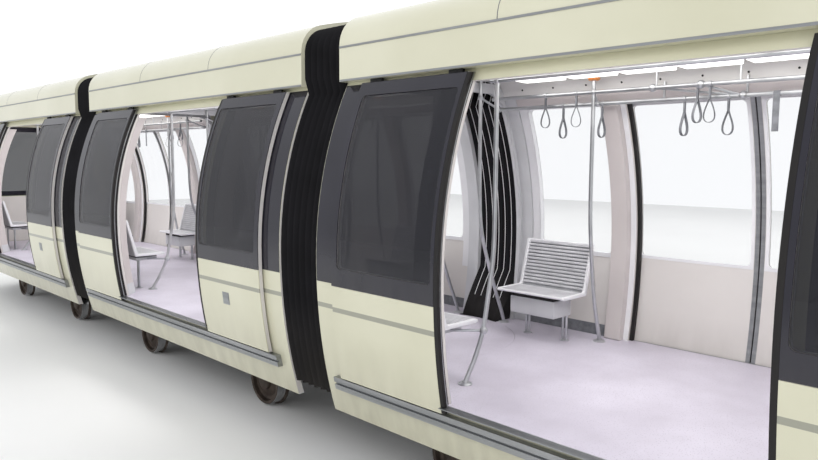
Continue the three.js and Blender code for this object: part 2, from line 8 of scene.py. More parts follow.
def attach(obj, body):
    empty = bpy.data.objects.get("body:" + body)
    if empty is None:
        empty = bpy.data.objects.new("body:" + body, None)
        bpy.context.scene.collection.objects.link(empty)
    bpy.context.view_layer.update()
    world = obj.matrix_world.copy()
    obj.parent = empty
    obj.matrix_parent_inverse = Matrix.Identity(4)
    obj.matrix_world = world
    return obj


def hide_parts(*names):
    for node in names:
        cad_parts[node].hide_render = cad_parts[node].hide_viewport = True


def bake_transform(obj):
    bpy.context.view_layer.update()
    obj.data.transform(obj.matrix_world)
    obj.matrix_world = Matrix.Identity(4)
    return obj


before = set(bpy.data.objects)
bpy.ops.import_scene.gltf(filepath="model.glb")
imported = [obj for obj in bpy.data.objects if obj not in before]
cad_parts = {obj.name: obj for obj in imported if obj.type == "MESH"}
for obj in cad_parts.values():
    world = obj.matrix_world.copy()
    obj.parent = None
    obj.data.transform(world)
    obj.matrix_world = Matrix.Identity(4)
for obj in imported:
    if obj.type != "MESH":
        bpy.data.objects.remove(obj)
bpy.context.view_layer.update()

scene = bpy.context.scene
print("frame loaded:", len(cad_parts), "nodes")

# Everything is in metres. Heights called z in the tables are above the cabin floor.
layout = {"pitch": 4.96, "halfLength": 2.24, "floorZ": 0.8}
end = layout["halfLength"]
floorZ = layout["floorZ"]
pivotX = layout["pitch"] / 2
barrel = {"bulgeZ": 0.82, "half": 1.33, "lowerRadius": 4.2, "upperRadius": 2.975}
roofLine = {"lipHalf": 1.05, "lipZ": 2.1403, "shoulderZ": 2.4, "shoulderRadius": 0.25, "crownZ": 2.76}
sections = []  # name, x of the middle, body, ends that meet a gangway
for name, step, inner in (("lead", -1, [1]), ("mid", 0, [-1, 1]), ("tail", 1, [-1])):
    sections.append((name, step * layout["pitch"], name + "_body", inner))
outerSections = (("lead", -1), ("tail", 1))
sides = {"near": -1, "far": 1}
ends = {"a": -1, "b": 1}


def hexColour(code):
    values = [int(code[i:i + 2], 16) / 255 for i in (0, 2, 4)]
    return [v / 12.92 if v <= 0.04045 else ((v + 0.055) / 1.055) ** 2.4 for v in values] + [1]


def addNode(tree, kind, settings=None, links=None):
    node = tree.nodes.new("ShaderNode" + kind)
    for key, value in (settings or {}).items():
        if key == "stops":
            for element, (place, code) in zip(node.color_ramp.elements, value):
                element.position = place
                element.color = hexColour(code)
        elif isinstance(key, int) or key in node.inputs:
            node.inputs[key].default_value = value
        else:
            setattr(node, key, value)
    for socket, source in (links or {}).items():
        tree.links.new(source, node.inputs[socket])
    return node


# The camera looks along the near side from 1.56 m above the cabin floor. Its lens and sensor are in mm.
camera = {"place": (6.902, -4.419, 2.364), "lens": 30.91, "sensor": 36, "farthest": 200,
          "right": (0.7003, 0.7138, 0.0051), "up": (-0.0746, 0.0661, 0.9950),
          "back": (0.7100, -0.6972, 0.0996)}
cameraData = bpy.data.cameras.new("photoCamera")
cameraData.lens = camera["lens"]
cameraData.sensor_width = camera["sensor"]
cameraData.clip_end = camera["farthest"]
cameraObject = bpy.data.objects.new("photoCamera", cameraData)
turn = Matrix((camera["right"], camera["up"], camera["back"])).transposed().to_4x4()
cameraObject.matrix_world = Matrix.Translation(camera["place"]) @ turn
scene.collection.objects.link(cameraObject)
scene.camera = cameraObject
scene.view_settings.view_transform = "Standard"

# name, place, aim, size, watts, colour
lamps = [("keyLight", (9.5, -9.0, 8.0), (3.5, 0, 1.6), (7, 5), 240, (1, 0.98, 0.95)),
         ("fillLight", (-5.0, -9.5, 6.5), (-1, 0, 1.5), (9, 6), 190, (0.96, 0.98, 1)),
         ("farLight", (0.0, 16.0, 9.0), (0, 15, 0), (36, 16), 1100, (1, 1, 1))]
# One more under each ceiling.
cabinLight = {"z": 2.24, "size": (3.2, 0.9), "watts": 31, "colour": (1, 0.99, 0.98)}
for name, cx, body, inner in sections:
    lamps.append((name + "CabinLight", (cx, 0, floorZ + cabinLight["z"]), (cx, 0, 0), cabinLight["size"],
                  cabinLight["watts"], cabinLight["colour"]))
for name, place, aim, size, watts, colour in lamps:
    light = bpy.data.lights.new(name, "AREA")
    light.shape = "RECTANGLE"
    light.size, light.size_y = size
    light.energy = watts
    light.color = colour
    holder = bpy.data.objects.new(name, light)
    holder.location = place
    holder.rotation_euler = (Vector(aim) - Vector(place)).to_track_quat("-Z", "Y").to_euler()
    holder.visible_camera = False
    holder.visible_glossy = False  # no hard square in the glass
    scene.collection.objects.link(holder)

# The studio air is brightest beyond the far side, so the far windows read as daylight.
airLook = {"from": (-0.7, 0.45), "strength": (0.8, 1.25), "colour": (0.97, 0.98, 1.0, 1)}
world = bpy.data.worlds.new("studioAir")
world.use_nodes = True
air = world.node_tree
facing = addNode(air, "SeparateXYZ", {}, {"Vector": addNode(air, "TexCoord").outputs["Generated"]})
glow = addNode(air, "MapRange", {"From Min": airLook["from"][0], "From Max": airLook["from"][1],
                                 "To Min": airLook["strength"][0], "To Max": airLook["strength"][1]},
               {"Value": facing.outputs["Y"]})
air.links.new(glow.outputs["Result"], air.nodes["Background"].inputs["Strength"])
air.nodes["Background"].inputs["Color"].default_value = airLook["colour"]
scene.world = world
print("camera and lights ready")

surfaceExtras = {"stretch": (1, 1, 1), "metal": 0, "specular": 0.5, "coat": 0, "alpha": 1,
                 "glow": ("FFFFFF", 0)}
wear = {"streak": (9, 9, 1.6), "coatRough": 0.06, "relief": 0.001}
slotOf = {}  # each material's usual slot in the record


# patch and grain are the metres across one cloud of tone and one grain of the fine relief.
# fleck: colour, metres across, share. band: colour, middle Z, half height.
# soil: colour, Z where it is clean, Z where it is dirtiest, share there.
def surface(name, slot, dark, light, patch, grain, bump, rough, **more):
    look = {**surfaceExtras, **more}
    material = bpy.data.materials.new(name)
    slotOf[material.name] = slot
    material.use_nodes = True
    tree = material.node_tree
    shader = tree.nodes["Principled BSDF"]
    spot = addNode(tree, "TexCoord").outputs["Object"]
    height = addNode(tree, "SeparateXYZ", {}, {"Vector": spot}).outputs["Z"]
    place = addNode(tree, "Mapping", {"Scale": look["stretch"]}, {"Vector": spot}).outputs["Vector"]
    cloud = addNode(tree, "TexNoise", {"Scale": 1 / patch, "Detail": 5.0}, {"Vector": place}).outputs["Fac"]
    fine = addNode(tree, "TexNoise", {"Scale": 1 / grain, "Detail": 2.0}, {"Vector": place}).outputs["Fac"]
    colour = addNode(tree, "ValToRGB", {"stops": [(0.3, dark), (0.7, light)]},
                     {"Fac": cloud}).outputs["Color"]
    layers = []
    if "fleck" in look:
        code, across, share = look["fleck"]
        dots = addNode(tree, "TexVoronoi", {"Scale": 1 / across}, {"Vector": spot}).outputs["Distance"]
        layers.append((code, addNode(tree, "Math", {"operation": "LESS_THAN", 1: share}, {0: dots})))
    if "band" in look:
        code, middle, half = look["band"]
        layers.append((code, addNode(tree, "Math", {"operation": "COMPARE", 1: middle, 2: half},
                                     {0: height})))
    if "soil" in look:  # grime that thins out upwards, in streaks
        code, clean, dirty, share = look["soil"]
        fall = addNode(tree, "MapRange", {"From Min": clean, "From Max": dirty, "To Min": 0.0,
                                          "To Max": share},
                       {"Value": height}).outputs["Result"]
        tall = addNode(tree, "Mapping", {"Scale": wear["streak"]}, {"Vector": spot}).outputs["Vector"]
        streaks = addNode(tree, "TexNoise", {"Scale": 1.0, "Detail": 6.0}, {"Vector": tall}).outputs["Fac"]
        layers.append((code, addNode(tree, "Math", {"operation": "MULTIPLY"}, {0: fall, 1: streaks})))
    for code, mask in layers:
        # sockets 0, 6 and 7 of the node are its factor and its two colours
        colour = addNode(tree, "Mix", {"data_type": "RGBA", 7: hexColour(code)},
                         {0: mask.outputs["Value"], 6: colour}).outputs[2]
    roughness = addNode(tree, "MapRange", {"To Min": rough[0], "To Max": rough[1]}, {"Value": cloud})
    relief = addNode(tree, "Bump", {"Strength": bump, "Distance": wear["relief"]}, {"Height": fine})
    for socket, source in (("Base Color", colour), ("Roughness", roughness.outputs["Result"]),
                           ("Normal", relief.outputs["Normal"])):
        tree.links.new(source, shader.inputs[socket])
    for socket, value in (("Metallic", look["metal"]), ("Specular IOR Level", look["specular"]),
                          ("Coat Weight", look["coat"]), ("Coat Roughness", wear["coatRough"]),
                          ("Alpha", look["alpha"]), ("Emission Color", hexColour(look["glow"][0])),
                          ("Emission Strength", look["glow"][1])):
        shader.inputs[socket].default_value = value
    return material


# Each line gives name, slot, darker and lighter tone, patch, grain, bump and the range of roughness.
# Sprayed coach enamel: clear gloss over a warm ivory, dusty in tone, faint orange peel, grimy low down.
ivoryEnamel = surface("ivoryCoachEnamel", "ivory_paint", "CFCDB4", "D9D7C0", 0.9, 0.003, 0.03, (0.24, 0.36),
                      coat=0.5, soil=("8A8470", 1.15, 0.4, 0.75))
# The same enamel on the side panels, which carry one painted grey band 35 mm high.
bandedEnamel = surface("ivoryCoachEnamelBanded", "ivory_paint", "CFCDB4", "D9D7C0", 0.9, 0.003, 0.03,
                       (0.24, 0.36),
                       coat=0.5, band=("9A9A8C", 1.2875, 0.0175), soil=("8A8470", 1.15, 0.4, 0.75))
# Ceramic frit on toughened glass: near black, a violet cast, sharp reflections, dulled by dust low down.
blackFrit = surface("blackFritGlass", "tinted_glass", "1A1924", "25242F", 0.5, 0.02, 0.01, (0.06, 0.16),
                    soil=("5C5A58", 1.75, 1.42, 0.3))
# Body-tinted float glass in two copies by side. Near side: deep grey-violet and hardly seen through, painted
# shade for the dark platform side and its dark reflection. Far side: pale and clear, painted daylight from
# beyond.
nearGlassPaintedShade = surface("floatGlassNearPaintedShade", "tinted_glass", "1A1A22", "23232D", 1.4, 0.05, 0.005, (0.02, 0.06),
                    alpha=0.6)
farGlassPaintedDaylight = surface("floatGlassFarPaintedDaylight", "tinted_glass", "5F6468", "6E7377", 1.4, 0.05, 0.005, (0.02, 0.06),
                    alpha=0.13)
# The near side's panes take the copy with painted shade, the far side's panes the copy with painted
# daylight.
paneGlass = {-1: nearGlassPaintedShade, 1: farGlassPaintedDaylight}
# Laminated glass of the two end screens: dark, between the two.
screenGlass = surface("laminatedScreenGlass", "tinted_glass", "14171B", "1D2126", 1.4, 0.05, 0.005,
                      (0.02, 0.05), alpha=0.66)
# Anodised aluminium extrusion: fine lines drawn along its length.
anodisedAluminium = surface("anodisedAluminium", "stainless", "96989A", "AEB0B2", 0.05, 0.0015, 0.08,
                            (0.32, 0.45), stretch=(0.04, 1, 1), metal=1)
# Brushed stainless tube, worn bright by use: pale grey, long soft highlights.
brushedTube = surface("brushedStainlessTube", "stainless", "B4B6B9", "D2D4D7", 0.16, 0.0012, 0.03,
                      (0.24, 0.38), metal=0.9)
# Extruded EPDM rubber: matt black, a brown cast where dust sits.
edgeRubber = surface("extrudedEpdmRubber", "bellows_rubber", "121011", "1F1C1B", 0.2, 0.0015, 0.2,
                     (0.6, 0.8))
# Coated woven fabric of the gangway: black with a close weave, drawn at 4 mm so that it shows.
coatedFabric = surface("neopreneCoatedFabric", "bellows_rubber", "0D0C0F", "1A191D", 0.3, 0.004, 0.5,
                       (0.6, 0.8), soil=("4A4640", 1.3, 0.55, 0.5), specular=0.2)
# Soft PVC piping on the folds: pale grey, smooth.
foldPiping = surface("greyPvcPiping", "bellows_rubber", "E2E2E5", "F2F2F4", 0.1, 0.002, 0.1, (0.4, 0.55))
# Sheet vinyl floor: pale lilac grey, drawn with 14 mm flecks so that they show, scuffed duller in clouds.
sheetVinyl = surface("fleckedSheetVinyl", "frame_steel", "B9B3C0", "D0CBD8", 0.55, 0.003, 0.12, (0.34, 0.55),
                     fleck=("AFA9B6", 0.014, 0.22))
# Melamine-faced wall lining: pale warm grey, slight pebble, scuffed near the floor, and pinker on pillars.
liningLaminate = surface("pebbledWallLaminate", "ivory_paint", "D6D2CF", "DFDBD8", 0.9, 0.002, 0.08,
                         (0.36, 0.5), soil=("8D8782", 1.1, 0.82, 0.4))
blushLaminate = surface("blushPillarLaminate", "ivory_paint", "C4BDBC", "CEC7C6", 0.5, 0.002, 0.08,
                        (0.35, 0.5))
# Gloss gel-coated moulding round the windows: the whitest surface inside.
windowMoulding = surface("whiteGelcoatMoulding", "ivory_paint", "DFDFE3", "E9E9EC", 0.5, 0.003, 0.04,
                         (0.25, 0.36))
# Stove-enamelled ceiling sheet, and opal acrylic lamp covers lit from behind.
ceilingEnamel = surface("satinCeilingEnamel", "ivory_paint", "DAD8D6", "E3E1E0", 0.8, 0.002, 0.04,
                        (0.3, 0.45))
opalAcrylic = surface("opalAcrylicLit", "lamp_lens", "F4F3EE", "FFFFFF", 0.3, 0.004, 0.02, (0.3, 0.4),
                      glow=("FFFDF8", 2.0))
# Powder-coated steel of the seats: silver grey, satin, rubbed paler in use, and a darker, duller copy behind
# the slats whose darker colour is painted shade.
seatCoating = surface("silverPowderCoatedSteel", "seat_metal", "C6C6CB", "DADADE", 0.12, 0.0015, 0.15,
                      (0.34, 0.5), metal=0.25)
seatShadow = surface("shadedPowderCoatedSteel", "seat_metal", "B4B5B9", "C2C3C8", 0.12, 0.0015, 0.15,
                     (0.45, 0.6), metal=0.2)
# Chassis paint with a bloom of brake dust.
chassisPaint = surface("dustyChassisPaint", "frame_steel", "2B2A29", "474543", 0.25, 0.004, 0.35,
                       (0.6, 0.85), fleck=("6A5A4A", 0.03, 0.12))
# Forged wheel steel: brown-grey sides, and a tread rolled bright.
wheelSteel = surface("forgedWheelSteel", "wheel_steel", "3A322C", "5A4E46", 0.08, 0.002, 0.3, (0.5, 0.7),
                     metal=0.6)
polishedTread = surface("railPolishedSteel", "wheel_steel", "9A9A9B", "BEBEC0", 0.1, 0.001, 0.05,
                        (0.15, 0.28), stretch=(1, 4, 1), metal=1)
# Woven nylon webbing, oxide-blacked steel fittings, and moulded orange polycarbonate.
strapNylon = surface("greyStrapWebbing", "bellows_rubber", "5E6065", "7C7E83", 0.05, 0.002, 0.4, (0.5, 0.7))
fittingBlack = surface("blackOxideSteel", "frame_steel", "151515", "262626", 0.02, 0.001, 0.2,
                       (0.4, 0.6), metal=0.5)
capOrange = surface("orangePolycarbonate", "lamp_lens", "C8783A", "E2995A", 0.05, 0.003, 0.05, (0.25, 0.35))
# Ribbed polycarbonate lenses: ribs 10 mm apart under a clear gloss.
lampLens = surface("ribbedLampLens", "lamp_lens", "DDE0E2", "F4F6F7", 0.05, 0.01, 0.3, (0.05, 0.12),
                   stretch=(1, 12, 1), coat=1.0)
tailLens = surface("redLampLens", "lamp_lens", "7A0F12", "A31A1C", 0.05, 0.01, 0.3, (0.05, 0.12),
                   stretch=(1, 12, 1), coat=1.0)
# Satin grey stove enamel of frames and boxes, and the studio's pale floor.
frameGrey = surface("greyGangwayFrame", "stainless", "C4C5C8", "D2D3D6", 0.4, 0.002, 0.08, (0.35, 0.5))
stageMaterial = surface("paleStudioFloor", "frame_steel", "EAEAE9", "F0F0EF", 4, 0.02, 0.02, (0.6, 0.7))
print("materials ready:", len(bpy.data.materials))


def halfWidth(z, depth=0.0):
    radius = barrel["lowerRadius"] if z < barrel["bulgeZ"] else barrel["upperRadius"]
    return barrel["half"] - radius + math.sqrt((radius - depth) ** 2 - (z - barrel["bulgeZ"]) ** 2)


def ordered(one, other):
    return (min(one, other), max(one, other))


def around(middle, half):
    return (middle - half, middle + half)


def inset(pair, by):
    return (pair[0] + by, pair[1] - by)


# The two ends of a reach from the middle cx, or from the centre line, towards one side.
def span(side, pair, cx=0.0):
    return ordered(cx + side * pair[0], cx + side * pair[1])


def newVerts(made):
    return [g for g in made["geom"] if isinstance(g, bmesh.types.BMVert)]


def meshOf(bm, name):
    mesh = bpy.data.meshes.new(name)
    bm.to_mesh(mesh)
    bm.free()
    return mesh


# Adds one finished form to a mesh that collects several.
def pour(target, bm):
    made = meshOf(bm, "form")
    target.from_mesh(made)
    bpy.data.meshes.remove(made)


def finished(name, bm, body, *materials, slot=None, angle=35, replaces=()):
    bmesh.ops.remove_doubles(bm, verts=bm.verts, dist=1e-5)
    bmesh.ops.recalc_face_normals(bm, faces=bm.faces)
    mesh = meshOf(bm, name)
    for material in materials:
        mesh.materials.append(material)
    mesh.shade_smooth()
    mesh.set_sharp_from_angle(angle=math.radians(angle))
    piece = bpy.data.objects.new(name, mesh)
    scene.collection.objects.link(piece)
    if body:  # a piece that bends between two bodies rides on neither
        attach(piece, body)
    slot = slot or slotOf[materials[0].name]
    if replaces:
        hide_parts(*replaces)
    return piece


def roundOff(bm, edges, radius, segments):
    bmesh.ops.bevel(bm, geom=edges, offset=radius, offset_type="OFFSET", segments=segments, profile=0.5,
                    affect="EDGES", material=-1)


def runs(edge, axis):
    return abs((edge.verts[0].co - edge.verts[1].co)[axis])


# A curved plate between two insets of the barrel; x and z are its spans. The inner vertices come last.
def barrelPanel(bm, x, z, depths, hand, columns=1, rowHeight=0.09):
    rows = max(2, round((z[1] - z[0]) / rowHeight))
    made = bmesh.ops.create_grid(bm, x_segments=columns, y_segments=rows, size=0.5)["verts"]
    for v in made:
        up = z[0] + (z[1] - z[0]) * (v.co.y + 0.5)
        v.co = (x[0] + (x[1] - x[0]) * (v.co.x + 0.5), hand * halfWidth(up, depths[0]), up + floorZ)
    faces = list({f for v in made for f in v.link_faces})
    inner = newVerts(bmesh.ops.extrude_face_region(bm, geom=faces))
    for v in inner:
        v.co.y = hand * halfWidth(v.co.z - floorZ, depths[1])
    return made + inner


def panel(x, z, depths, hand):
    bm = bmesh.new()
    barrelPanel(bm, x, z, depths, hand)
    return bm


def block(bm, x, y, z, corner=0.0, along=None, segments=3, tilt=None):
    verts = bmesh.ops.create_cube(bm, size=1)["verts"]
    bmesh.ops.scale(bm, vec=(x[1] - x[0], y[1] - y[0], z[1] - z[0]), verts=verts)
    edges = list({e for v in verts for e in v.link_edges})
    if along is not None:  # only the edges that run along this axis are rounded
        edges = [e for e in edges if runs(e, along) > 1e-6]
    if tilt:  # radians about the X axis through the block's own middle
        bmesh.ops.rotate(bm, cent=(0, 0, 0), matrix=Matrix.Rotation(tilt, 3, "X"), verts=verts)
    middle = ((x[0] + x[1]) / 2, (y[0] + y[1]) / 2, (z[0] + z[1]) / 2 + floorZ)
    bmesh.ops.translate(bm, vec=middle, verts=verts)
    if corner:
        roundOff(bm, edges, corner, segments)
    return bm


# A tube along points (x, y, z), with z above the cabin floor. A rounded one is smoothed between them.
def sweep(bm, points, radius, rounded=False, resolution=2):
    curve = bpy.data.curves.new("sweepPath", "CURVE")
    curve.dimensions = "3D"
    curve.bevel_depth = radius
    curve.bevel_resolution = resolution
    curve.use_fill_caps = True
    spline = curve.splines.new("NURBS" if rounded else "POLY")
    spline.points.add(len(points) - 1)
    for spot, (x, y, z) in zip(spline.points, points):
        spot.co = (x, y, z + floorZ, 1)
    if rounded:
        spline.order_u = 3
        spline.resolution_u = 4
        spline.use_endpoint_u = True
    holder = bpy.data.objects.new("sweepPath", curve)
    bm.from_mesh(holder.to_mesh())
    holder.to_mesh_clear()
    bpy.data.objects.remove(holder)
    bpy.data.curves.remove(curve)


turns = {"Z": Matrix.Identity(3), "X": Matrix.Rotation(math.pi / 2, 3, "Y"),
         "Y": Matrix.Rotation(-math.pi / 2, 3, "X")}


# A turned shape: profile of (radius, distance along) round an axis, "X", "Y" or "Z", through centre.
def lathe(target, profile, centre, axis, steps=32):
    bm = bmesh.new()
    line = [bm.verts.new((radius, 0, along)) for radius, along in profile]
    edges = [bm.edges.new(pair) for pair in zip(line, line[1:])]
    bmesh.ops.spin(bm, geom=line + edges, cent=(0, 0, 0), axis=(0, 0, 1), angle=2 * math.pi, steps=steps,
                   use_merge=True, use_duplicate=False)
    bmesh.ops.remove_doubles(bm, verts=bm.verts, dist=1e-6)
    bmesh.ops.rotate(bm, cent=(0, 0, 0), matrix=turns[axis], verts=bm.verts)
    bmesh.ops.translate(bm, vec=(centre[0], centre[1], centre[2] + floorZ), verts=bm.verts)
    pour(target, bm)


def ball(target, centre, radius):
    arc = [math.pi * i / 10 for i in range(11)]
    lathe(target, [(radius * math.sin(a), -radius * math.cos(a)) for a in arc], centre, "X", 20)


def rod(target, centre, radius, reach, axis, steps=12):
    lathe(target, [(0, reach[0]), (radius, reach[0]), (radius, reach[1]), (0, reach[1])], centre, axis,
          steps)


# A flat face through points, pushed along a vector.
def pushed(bm, points, push):
    face = bm.faces.new([bm.verts.new(p) for p in points])
    bmesh.ops.translate(bm, vec=push, verts=newVerts(bmesh.ops.extrude_face_region(bm, geom=[face])))
    return bm


# A flat outline of (y, z) pushed along X.
def prismX(bm, outline, x):
    return pushed(bm, [(x[0], y, z + floorZ) for y, z in outline], (x[1] - x[0], 0, 0))


def carve(bm, cutter, operation="DIFFERENCE"):
    holders = []
    for source in (bm, cutter):
        bmesh.ops.recalc_face_normals(source, faces=source.faces)
        holders.append(bpy.data.objects.new("carving", meshOf(source, "carving")))
        scene.collection.objects.link(holders[-1])
    modifier = holders[0].modifiers.new("cut", "BOOLEAN")
    modifier.object = holders[1]
    modifier.operation = operation
    modifier.solver = "EXACT"
    result = bmesh.new()
    evaluated = holders[0].evaluated_get(bpy.context.evaluated_depsgraph_get())
    result.from_mesh(evaluated.to_mesh())
    evaluated.to_mesh_clear()
    for holder in holders:
        mesh = holder.data
        bpy.data.objects.remove(holder)
        bpy.data.meshes.remove(mesh)
    return result


def closedLine(half):
    return half + [(-y, z) for y, z in reversed(half)]


# The roof's outer line from one lip to the other, shrunk by depth.
def roofArc(depth, lipZ, shoulderSteps=8, crownSteps=10):
    radius = roofLine["shoulderRadius"] - depth
    shoulderY = roofLine["lipHalf"] - roofLine["shoulderRadius"]
    crownZ = roofLine["crownZ"] - depth
    rise = roofLine["shoulderZ"] - crownZ
    crownRadius = (radius ** 2 - rise ** 2 - shoulderY ** 2) / (2 * (rise + radius))
    centreZ = crownZ - crownRadius
    meet = math.atan2(roofLine["shoulderZ"] - centreZ, shoulderY)
    half = [(roofLine["lipHalf"] - depth, lipZ)]
    for i in range(shoulderSteps + 1):
        angle = meet * i / shoulderSteps
        half.append((shoulderY + radius * math.cos(angle), roofLine["shoulderZ"] + radius * math.sin(angle)))
    for i in range(1, crownSteps):
        angle = meet + (math.pi / 2 - meet) * i / crownSteps
        half.append((crownRadius * math.cos(angle), centreZ + crownRadius * math.sin(angle)))
    return half + [(0, crownZ)] + [(-y, z) for y, z in reversed(half)]


stage = bmesh.new()
bmesh.ops.create_grid(stage, x_segments=1, y_segments=1, size=32)
stageMesh = meshOf(stage, "studioFloor")
stageMesh.materials.append(stageMaterial)
stageObject = bpy.data.objects.new("studioFloor", stageMesh)
scene.collection.objects.link(stageObject)


# Side walls, each with its doorway, two bay windows and the door guide below it.
wall = {"z": (-0.37, 2.14), "depths": (0.05, 0.1), "doorHalf": 0.995, "doorZ": (-0.03, 2.06),
        "bayX": (1.21, 1.985), "bayZ": (0.735, 2.03), "bayCorner": 0.05,
        "bandX": (1.07, end - 0.005), "bandZ": (0.664, 2.115), "guideHalf": 2.1, "guideZ": (-0.15, -0.052),
        "grooveHalf": 2.2, "grooveZ": (-0.11, -0.092),
        "pillarX": (1.045, 1.195), "jambX": (1.0, 1.044), "stripX": (1.991, 2.07),
        "frameX": (2.075, end - 0.004),
        "skirtingZ": (0.003, 0.1), "splayX": (1.0, 1.195), "splayDeep": (0.108, 0.235),
        "pillarZ": (0.004, 2.03), "bootZ": (0.0045, 0.13), "sealX": {-1: (0.992, 0.998), 1: (0.966, 0.998)},
        "sealDeep": {-1: (0.047, 0.075), 1: (0.047, 0.082)}}
across = {hand: span(hand, (0.7, 1.6)) for hand in sides.values()}  # reach of a cutter through one side


# A door pillar that deepens from the doorway to the bay.
def splay(cx, side, hand, z, grow=0.0):
    pillar = bmesh.new()
    (low, high), (thin, deep) = wall["splayX"], wall["splayDeep"]
    verts = barrelPanel(pillar, span(side, (low - grow, high + grow), cx), z, (0.099, deep), hand,
                        columns=10)
    for v in verts[len(verts) // 2:]:
        share = min(max((abs(v.co.x - cx) - low) / (high - low) / 0.75, 0), 1)
        depth = thin + (deep - thin) * share ** 2 * (3 - 2 * share) + grow
        v.co.y = hand * halfWidth(v.co.z - floorZ, depth)
    return pillar


def sideWall(name, cx, body, sideName, hand):
    tag = f"{name}_{sideName}"

    def holed(bm, side, shrink):
        x, z = span(side, inset(wall["bayX"], shrink), cx), inset(wall["bayZ"], shrink)
        return carve(bm, block(bmesh.new(), x, across[hand], z, corner=wall["bayCorner"] - shrink, along=1,
                               segments=6))

    plate = panel(around(cx, end), wall["z"], wall["depths"], hand)
    for side in ends.values():
        plate = holed(plate, side, 0.0)
    plate = carve(plate, block(bmesh.new(), around(cx, wall["doorHalf"]), across[hand], wall["doorZ"]))
    plate.normal_update()
    for face in plate.faces:  # what looks inwards is lined
        if face.normal.y * hand < 0.3:
            face.material_index = 1
    node = {"near": "_door_wall", "far": "_far_wall"}[sideName]
    finished(tag + "_wall_skin", plate, body, bandedEnamel, liningLaminate, replaces=[name + node])
    groove = panel(around(cx, wall["grooveHalf"]), wall["grooveZ"], (-0.01, 0.02), hand)
    guide = carve(panel(around(cx, wall["guideHalf"]), wall["guideZ"], (0.005, 0.055), hand), groove)
    finished(tag + "_door_guide", guide, body, anodisedAluminium)

    # curved plates at each end: name, x, z, insets, how far inside the bay's edge it is cut, finish
    plates = [("bay_frit", wall["bandX"], wall["bandZ"], (0.048, 0.0505), 0.0, blackFrit),
              ("bay_pane", inset(wall["bayX"], -0.02), inset(wall["bayZ"], -0.02), (0.053, 0.059), None,
               paneGlass[hand]),
              ("bay_trim", inset(wall["bayX"], -0.004), inset(wall["bayZ"], -0.03), (0.06, 0.107), 0.006,
               windowMoulding),
              ("end_strip", wall["stripX"], (0.44, 2.13), (0.099, 0.108), None, windowMoulding),
              ("end_frame", wall["frameX"], (0.0, 2.13), (0.099, 0.118), None, frameGrey),
              ("skirting", (wall["jambX"][1], wall["frameX"][0]), wall["skirtingZ"], (0.099, 0.105),
               None, strapNylon),
              ("jamb_seal", wall["sealX"][hand], (0.004, 2.058), wall["sealDeep"][hand], None, edgeRubber)]
    if hand > 0:
        plates += [("pillar_face", wall["pillarX"], wall["pillarZ"], (0.099, 0.17), None, blushLaminate),
                   ("jamb_strip", wall["jambX"], (0.0, 2.06), (0.097, 0.106), None, windowMoulding)]
    for letter, side in ends.items():
        for title, x, z, depths, shrink, material in plates:
            strip = bmesh.new()
            verts = barrelPanel(strip, span(side, x, cx), z, depths, hand)
            if shrink is not None:
                strip = holed(strip, side, shrink)
            if title == "pillar_face":  # the deep door pillar has rounded arrises
                deep = set(verts[len(verts) // 2:])
                edges = [e for e in strip.edges if set(e.verts) <= deep and e.calc_face_angle(0) > 1.0]
                roundOff(strip, edges, 0.016, 4)
            finished(f"{tag}_{title}_{letter}", strip, body, material,
                     slot="ivory_paint" if title == "end_frame" else None)
        if hand < 0:
            finished(f"{tag}_pillar_face_{letter}", splay(cx, side, hand, wall["pillarZ"]), body,
                     blushLaminate)
            finished(f"{tag}_pillar_boot_{letter}", splay(cx, side, hand, wall["bootZ"], 0.0015), body,
                     frameGrey)


for name, cx, body, inner in sections:
    for sideName, hand in sides.items():
        sideWall(name, cx, body, sideName, hand)
print("side walls ready")


# Sliding leaves: a framed core, an enamelled lower skin, a frit border round the pane, and a rubber edge.
leaf = {"width": 1.04, "z": (-0.04, 2.115), "windowZ": {-1: (0.79, 2.02), 1: (0.745, 2.02)}, "border": 0.06,
        "corner": 0.035, "split": 0.662, "rubber": 0.03, "lead": {"door": 0.96, "far": 0.003}}
# A flat push plate let into the lower skin.
button = {"along": 0.56, "z": 0.345, "half": 0.055, "frame": 0.012}
shoe = {"x": 0.38, "half": 0.06, "y": (0.999, 1.026), "z": (2.09, 2.1395), "boltY": 1.024, "boltZ": 2.12,
        "bolt": [(0, -0.004), (0.009, -0.004), (0.011, 0.0), (0.011, 0.006), (0, 0.006)]}


